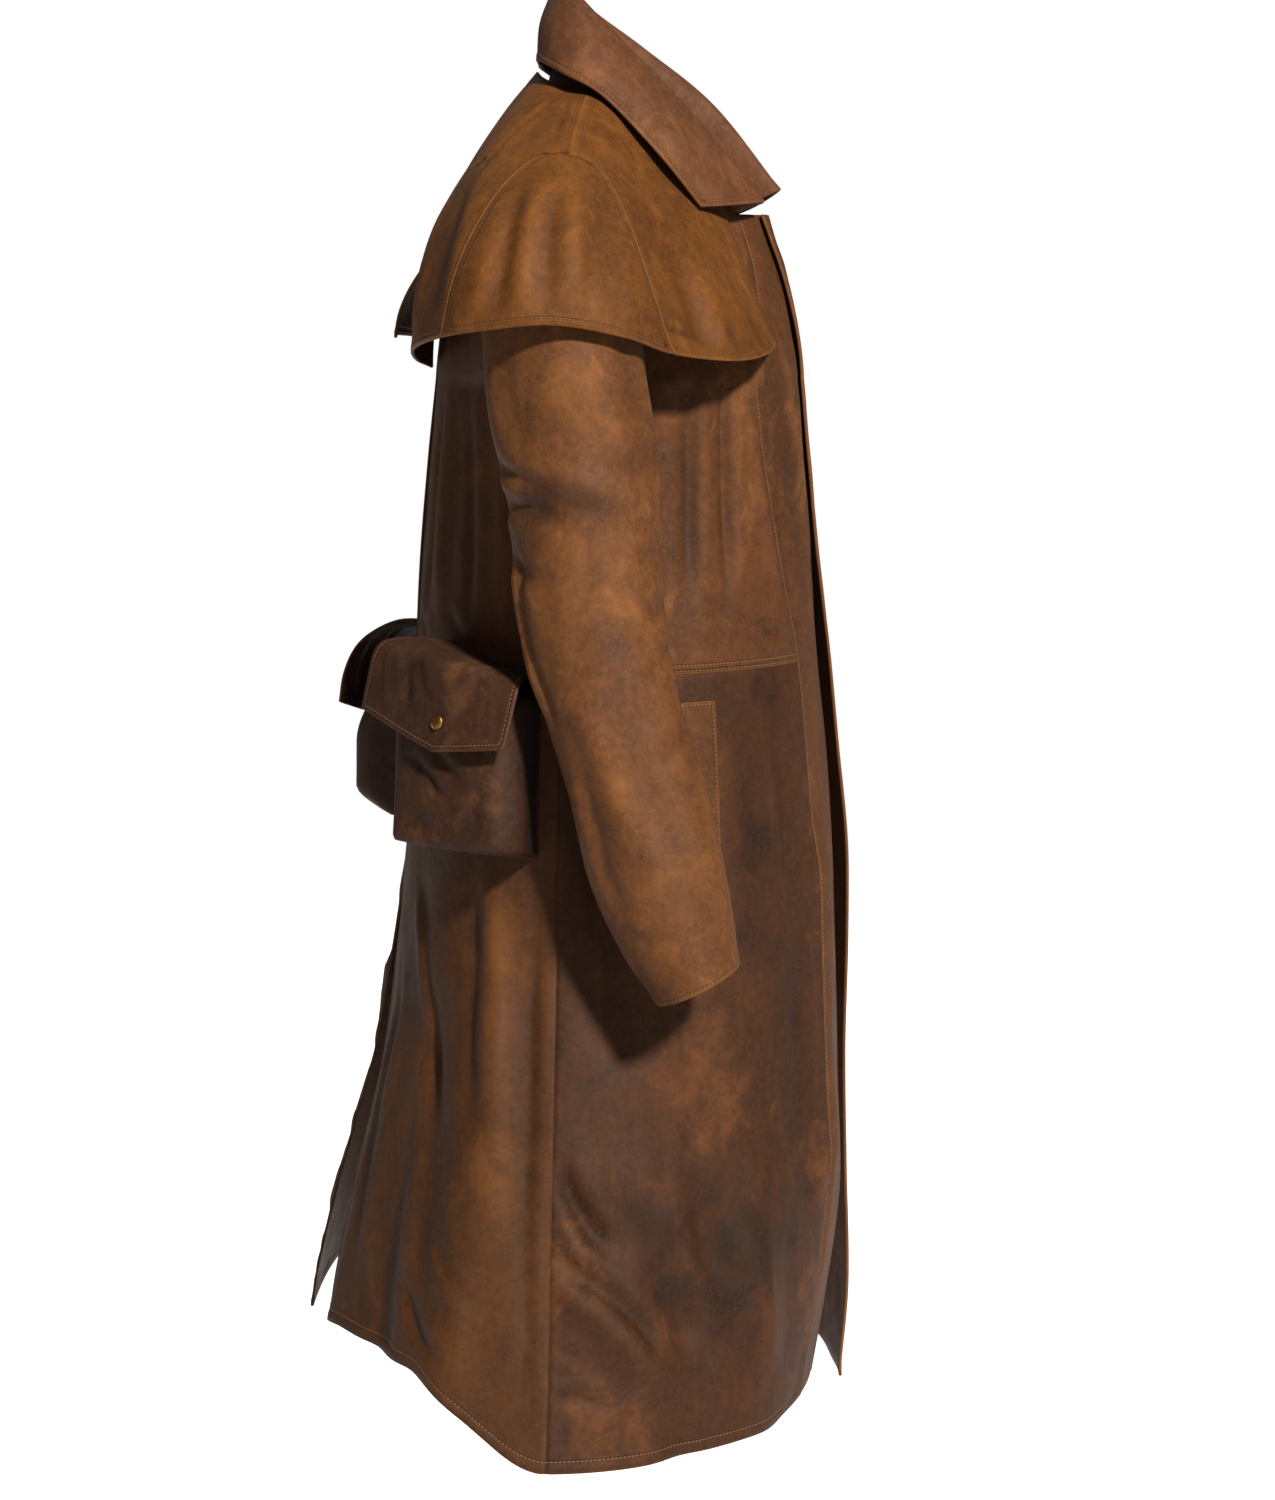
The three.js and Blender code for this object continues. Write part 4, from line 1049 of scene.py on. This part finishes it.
BODY = dict(dark=rgb(46, 26, 11), middle=rgb(70, 40, 18), light=rgb(102, 63, 31), grey=rgb(28, 17, 10))
BACK = dict(dark=rgb(42, 23, 8), middle=rgb(60, 34, 13), light=rgb(80, 48, 20), grey=rgb(30, 17, 7))
ARM = dict(dark=rgb(56, 32, 14), middle=rgb(82, 49, 22), light=rgb(108, 68, 34), grey=rgb(36, 22, 13))
SKIRT = dict(dark=rgb(33, 18, 8), middle=rgb(52, 28, 12), light=rgb(80, 47, 21), grey=rgb(19, 11, 6))
GOLD = dict(dark=rgb(58, 32, 9), middle=rgb(84, 49, 15), light=rgb(110, 68, 26), grey=rgb(42, 24, 9))
ROSE = dict(dark=rgb(56, 33, 18), middle=rgb(82, 49, 28), light=rgb(108, 70, 42), grey=rgb(40, 25, 16))
HIP = dict(dark=rgb(28, 15, 8), middle=rgb(48, 27, 14), light=rgb(80, 50, 28), grey=rgb(18, 10, 6))

body_leather = leather("body leather", **BODY, shift=(0.2, 0.5, 0.1), lines=(2.2, 6.4))
sleeve_leather = leather("sleeve leather", **ARM, shift=(1.3, 0.2, 0.7), lines=(2.2,))
back_leather = leather("back leather", **BACK, shift=(0.5, 1.1, 0.4), lines=(9.0,))
skirt_leather = leather("skirt leather", **SKIRT, shift=(0.7, 0.9, 0.3), lines=(9.0,), cloud=1.5)
front_leather = leather("front leather", **BODY, shift=(0.4, 0.3, 0.9), lines=(2.2,))
cape_leather = leather(
    "cape leather", **GOLD, shift=(0.1, 0.8, 0.6), lines=(5.0,), streak=0.4, cloud=0.6, thread=(104, 70, 36)
)
collar_leather = leather("collar leather", **ROSE, shift=(0.9, 0.4, 0.2), lines=(5.0,), cloud=0.7)
hip_leather = leather("pocket leather", **HIP, shift=(0.6, 0.1, 0.8), lines=(4.0,))
aged_brass = brass("aged brass")


# The pieces
def sew(name, finish, surface, us, vs, outward, held="hung", rests_on=("collar_stand",), **more):
    """A cloth piece in place of its solid; its flat size is measured from its own lengths but not kept."""
    piece, (width, length, area) = shell(name + "_leather", surface, us, vs, outward, **more)
    piece.data.materials.append(finish)
    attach(piece, "root")
    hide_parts(name)
    return piece


def marked(seed, rows=None, scale=(1, 1), place=lambda u, v: (u, v), length=46, stretch=2.4, high=1.3):
    """Small waves longer down the cloth, a finer size of them, and the creases at each u and v's place."""

    def relief(wide, long, u, v):
        """Their sum in mm."""
        fine = waves(seed + 1, wide, long, FINE["length"], FINE["stretch"])
        out = waves(seed, wide, long, length, stretch) * high + fine * high * FINE["share"]
        return out + (CREASE_GAIN * creases(rows, scale, *place(u, v)) if rows else 0)

    return relief


def spotted(rows, scale, place=lambda u, v: (u, v)):
    """The stains, and the painted shadow where a table holds one, at each u and v, by a place worked out from
    them.
    """
    return lambda u, v: stains(rows, scale, *place(u, v))


def rumpled(seed, depth, marks):
    """The same relief with short sharp waves within depth mm of the first edge, below the hips."""

    def relief(wide, long, u, v):
        """Their sum in mm."""
        near = (1 - ease(wide / depth)) * ease((CRUMPLE["start"] - v) / CRUMPLE["fade"])
        small = waves(seed, wide, long, CRUMPLE["length"], CRUMPLE["stretch"])
        return marks(wide, long, u, v) + near * (small * CRUMPLE["high"] + CRUMPLE["out"])

    return relief


def hem_band(depth, edges):
    """A turned hem: the outer skin stands a little out within depth mm of an edge."""

    def raised(wide, long, u, v):
        """An eased step at the band's inner edge."""
        near = {"v0": long, "v1": long[:, -1:] - long, "u0": wide, "u1": wide[-1:] - wide}
        closest = np.minimum.reduce([near[e] for e in edges.split()])
        return TURNED["out"] * (1 - ease((closest - depth + TURNED["step"] / 2) / TURNED["step"]))

    return raised


def round_and_drop(forward, at):
    """Degrees from the centre front and the drop, from a panel's own u and level."""

    def place(u, v):
        """Both of them."""
        across, level = at(u, v)
        return (across * 90 if forward else 180 - across * 90), CHEST - level * np.where(v < 0, 1, CHEST)

    return place


whole = lambda v: 1 + 0 * v
shares = lambda count: np.linspace(0, 1, count)
low, waist = CHEST - HEM, CHEST - WAIST
chest = np.linspace(waist, 0, int((WAIST - CHEST) / MESH))
skirt = np.linspace(low, waist, int((HEM - WAIST) / MESH))
yoke = np.linspace(0, 1, 46)[1:] ** 0.9 * SHOULDER_SEAM
strip_rows = np.concatenate([skirt, chest[1:], yoke[yoke < THROAT], [THROAT]])
bodice_rows, back_rows = np.concatenate([chest, yoke]), np.concatenate([skirt, chest[1:], yoke])
rings = np.linspace(0, 12, 150)
cape_start = CAPE_SHOULDER["fall"]
over, down = np.linspace(0.03, cape_start - 1e-3, 22), np.linspace(cape_start + 2e-3, 0.995, 40)
falls = np.concatenate([over, down])

for side, facing in (("right", -1), ("left", 1)):
    seed = 10 if side == "right" else 40
    strip_in = lambda v, s=side: across_at(s, edge_x(s, v), v)
    strip_out = lambda v, s=side: across_at(s, strip_x(s, v), v)
    neck_x = lambda v, s=side: np.where(v > THROAT, neck_front(strip_x(s, v), v), strip_x(s, v))
    neck_in = lambda v, s=side, x=neck_x: across_at(s, x(v), v)
    vent_in = lambda v, s=side: across_at(s, np.where(v <= NAPE, vent_x(s, v), neck_back(v)), v)
    for name, finish, forward, inner, outer, columns, rows, edges, band, slot in (
        ("placket", front_leather, True, strip_in, strip_out, 24, strip_rows, "u0 u1", "u0", "body_leather"),
        ("skirt_front", skirt_leather, True, strip_out, whole, 62, skirt, "v0", "v0", "skirt_leather"),
        ("bodice_front", body_leather, True, neck_in, whole, 56, bodice_rows, "v0", "", "body_leather"),
        ("back", back_leather, False, vent_in, whole, 76, back_rows, "v0 u0", "v0", "body_leather"),
    ):
        at = panel(side, forward, inner, outer)
        place = round_and_drop(forward, at)
        marks = marked(seed, BODY_CREASES[side], BODY_SCALE, place, length=58, high=1.9)
        sew(
            f"{name}_{side}",
            finish,
            lambda u, v, s=side, forward=forward, at=at: body_point(s, forward, *at(u, v)),
            shares(columns),
            rows,
            facing if forward else -facing,
            relief=marks if forward or side == "right" else rumpled(seed + 7, 30, marks),
            raised=hem_band(9, band) if band else None,
            stained=spotted(BODY_STAINS, BODY_SCALE, place),
            stitched=edges,
            slot=slot,
        )
        seed += 2

    for part, (start, end), count in (("upper", (-97, 105), 48), ("under", (105, 263), 34)):
        sew(
            f"sleeve_{part}_{side}",
            sleeve_leather,
            lambda a, r, s=side: sleeve_point(s, a, r),
            np.linspace(start, end, count),
            rings,
            facing,
            relief=marked(seed, SLEEVE_CREASES, SLEEVE_SCALE, length=34, stretch=1.5, high=1.1),
            raised=hem_band(9, "v1"),
            stained=spotted(SLEEVE_STAINS, SLEEVE_SCALE),
            stitched="v1 u0" if part == "upper" else "v1",
            rests_on=[f"back_{side}"],
        )
        seed += 2

    seam = lambda which: lambda fall: cape_seam(which, fall)
    for part, a, b, rows, count, edges in (
        ("front", lambda f: 0 * f, seam("front"), falls, 40, "u0 v1 u1"),
        ("arm", seam("front"), seam("back"), falls[falls > cape_start], 60, "v1 u0 u1"),
        ("back", seam("back"), lambda f: 1 + 0 * f, falls, 44, "v1 u0"),
    ):
        turned = lambda u, f, a=a, b=b: (mix(a(f), b(f), u), f)
        sew(
            f"cape_{part}_{side}",
            cape_leather,
            lambda u, f, s=side, turned=turned: cape_point(s, *turned(u, f)),
            shares(count),
            rows,
            -facing,
            relief=marked(seed, CAPE_CREASES, CAPE_SCALE, turned, length=40, stretch=2.2, high=0.9),
            raised=hem_band(7, "v1"),
            stained=spotted(CAPE_STAINS, CAPE_SCALE, turned),
            stitched=edges,
            slot="cape_leather",
            rests_on=[f"bodice_front_{side}", f"back_{side}"],
        )
        seed += 2

    bag_marks, flap_marks = (seed, BAG_CREASES, BAG_SCALE), (seed + 2, FLAP_CREASES, FLAP_SCALE)
    for part, point, columns, rows, faced, marks, length, high, spots, edge in (
        ("bag", bag_point, 60, 44, -facing, bag_marks, 30, 0.9, BAG_STAINS_AND_SHADOW, "v0"),
        ("flap", flap_point, 44, 40, facing, flap_marks, 28, 0.8, FLAP_STAINS, "v1"),
    ):
        sew(
            f"pocket_{part}_{side}",
            hip_leather,
            lambda u, v, s=side, point=point: point(s, u, v),
            shares(columns),
            shares(rows),
            faced,
            relief=marked(*marks, length=length, stretch=1.0, high=high),
            stained=spotted(spots, marks[2]),
            stitched="u0 u1 " + edge,
            slot="skirt_leather",
            rests_on=[f"back_{side}"],
        )
    sew(
        f"pocket_welt_{side}",
        front_leather,
        lambda u, v, s=side: welt_point(s, u, v),
        np.linspace(0, 1, 8),
        np.linspace(WELT["top"], WELT["bottom"], 40),
        -facing,
        stitched="u0 u1 v0 v1",
        slot="skirt_leather",
        rests_on=[f"skirt_front_{side}"],
    )

along = np.linspace(-1, 1, 161)
on_collar = dict(
    stained=spotted(COLLAR_STAINS, COLLAR_SCALE),
    slot="collar_leather",
    rests_on=["back_right", "back_left"],
)
sew("collar_stand", collar_leather, collar_point, along, np.linspace(0, 0.5, 18), -1, **on_collar)
sew(
    "collar_leaf",
    collar_leather,
    collar_point,
    along,
    np.linspace(0.5, 1, 30),
    -1,
    relief=marked(91, length=60, stretch=0.8, high=1.2),
    raised=hem_band(6, "v1 u0 u1"),
    stitched="v1 u0 u1",
    **on_collar,
)
for side in ("right", "left"):
    for place in bpy.data.objects[f"snap_{side}"].material_slots:
        place.material = aged_brass


# Floor, light and camera
def plane(name, size, height):
    """A square at a height."""
    x, y = np.meshgrid([-size, size], [-size, size])
    points = vector(x.reshape(-1), y.reshape(-1), height)
    return mesh_piece(name, points, np.array([[0, 1, 3, 2]]))


floor = plane("floor", 9000, -2200)
pale = Finish("pale floor", (0, 0, 0))
grain = pale.noise(3, 3)
white = pale.blend(grain, (0.74, 0.76, 0.8, 1), (0.75, 0.77, 0.81, 1))
glow = dict(Emission_Color=(1, 1, 1, 1), Emission_Strength=0.1, Specular_IOR_Level=0.1)
floor.data.materials.append(pale.close(white, 0.9, grain * 0.1, **glow))


def lamp(name, kind, place, toward, size, power, colour=(1, 1, 1)):
    """A lamp aimed at a point: size is a disk's in metres, or a far lamp's angle in degrees."""
    light = bpy.data.lights.new(name, kind)
    light.energy, light.color = power, colour
    if kind == "SUN":
        light.angle = math.radians(size)
    else:
        light.shape, light.size = "DISK", size
    made = bpy.data.objects.new(name, light)
    made.location = place
    aim = np.array(toward) - np.array(place)
    tilt, turn = math.acos(-aim[2] / np.linalg.norm(aim)), math.atan2(aim[1], aim[0]) - math.pi / 2
    made.rotation_euler = (tilt, 0, turn)
    bpy.context.scene.collection.objects.link(made)


lamp("key", "SUN", (-2.28, -1.1, 1.3), (0, 0, -0.45), 6, 9.5, (1, 0.95, 0.88))
lamp("fill", "AREA", (-2.8, 0.6, 0.3), (0, 0, -0.5), 1.8, 7, (1, 0.88, 0.74))
lamp("back", "AREA", (2.0, 1.6, 1.8), (0, 0, -0.4), 1.6, 9, (1, 0.88, 0.74))

world = bpy.data.worlds.new("studio")
world.use_nodes = True
nodes, links = world.node_tree.nodes, world.node_tree.links
nodes["Background"].inputs["Color"].default_value = (1, 0.88, 0.76, 1)
nodes["Background"].inputs["Strength"].default_value = 0.12
seen = nodes.new("ShaderNodeBackground")
seen.inputs["Color"].default_value = (1, 1, 1, 1)
ray = nodes.new("ShaderNodeLightPath")
both = nodes.new("ShaderNodeMixShader")
links.new(ray.outputs["Is Camera Ray"], both.inputs[0])
links.new(nodes["Background"].outputs[0], both.inputs[1])
links.new(seen.outputs[0], both.inputs[2])
links.new(both.outputs[0], nodes["World Output"].inputs["Surface"])
bpy.context.scene.world = world
bpy.context.scene.view_settings.view_transform = "Standard"

camera_data = bpy.data.cameras.new("camera")
SENSOR, FOCAL, LOOK_DOWN = 36, 3390 / 1500, 7.56  # mm, picture heights and degrees
camera_data.sensor_fit, camera_data.sensor_height = "VERTICAL", SENSOR
camera_data.lens = SENSOR * FOCAL
camera = bpy.data.objects.new("camera", camera_data)
camera.location = (-2.8, -0.0285, -0.170)
camera.rotation_euler = (math.radians(90 - LOOK_DOWN), 0, math.radians(-90))
bpy.context.scene.collection.objects.link(camera)
bpy.context.scene.camera = camera
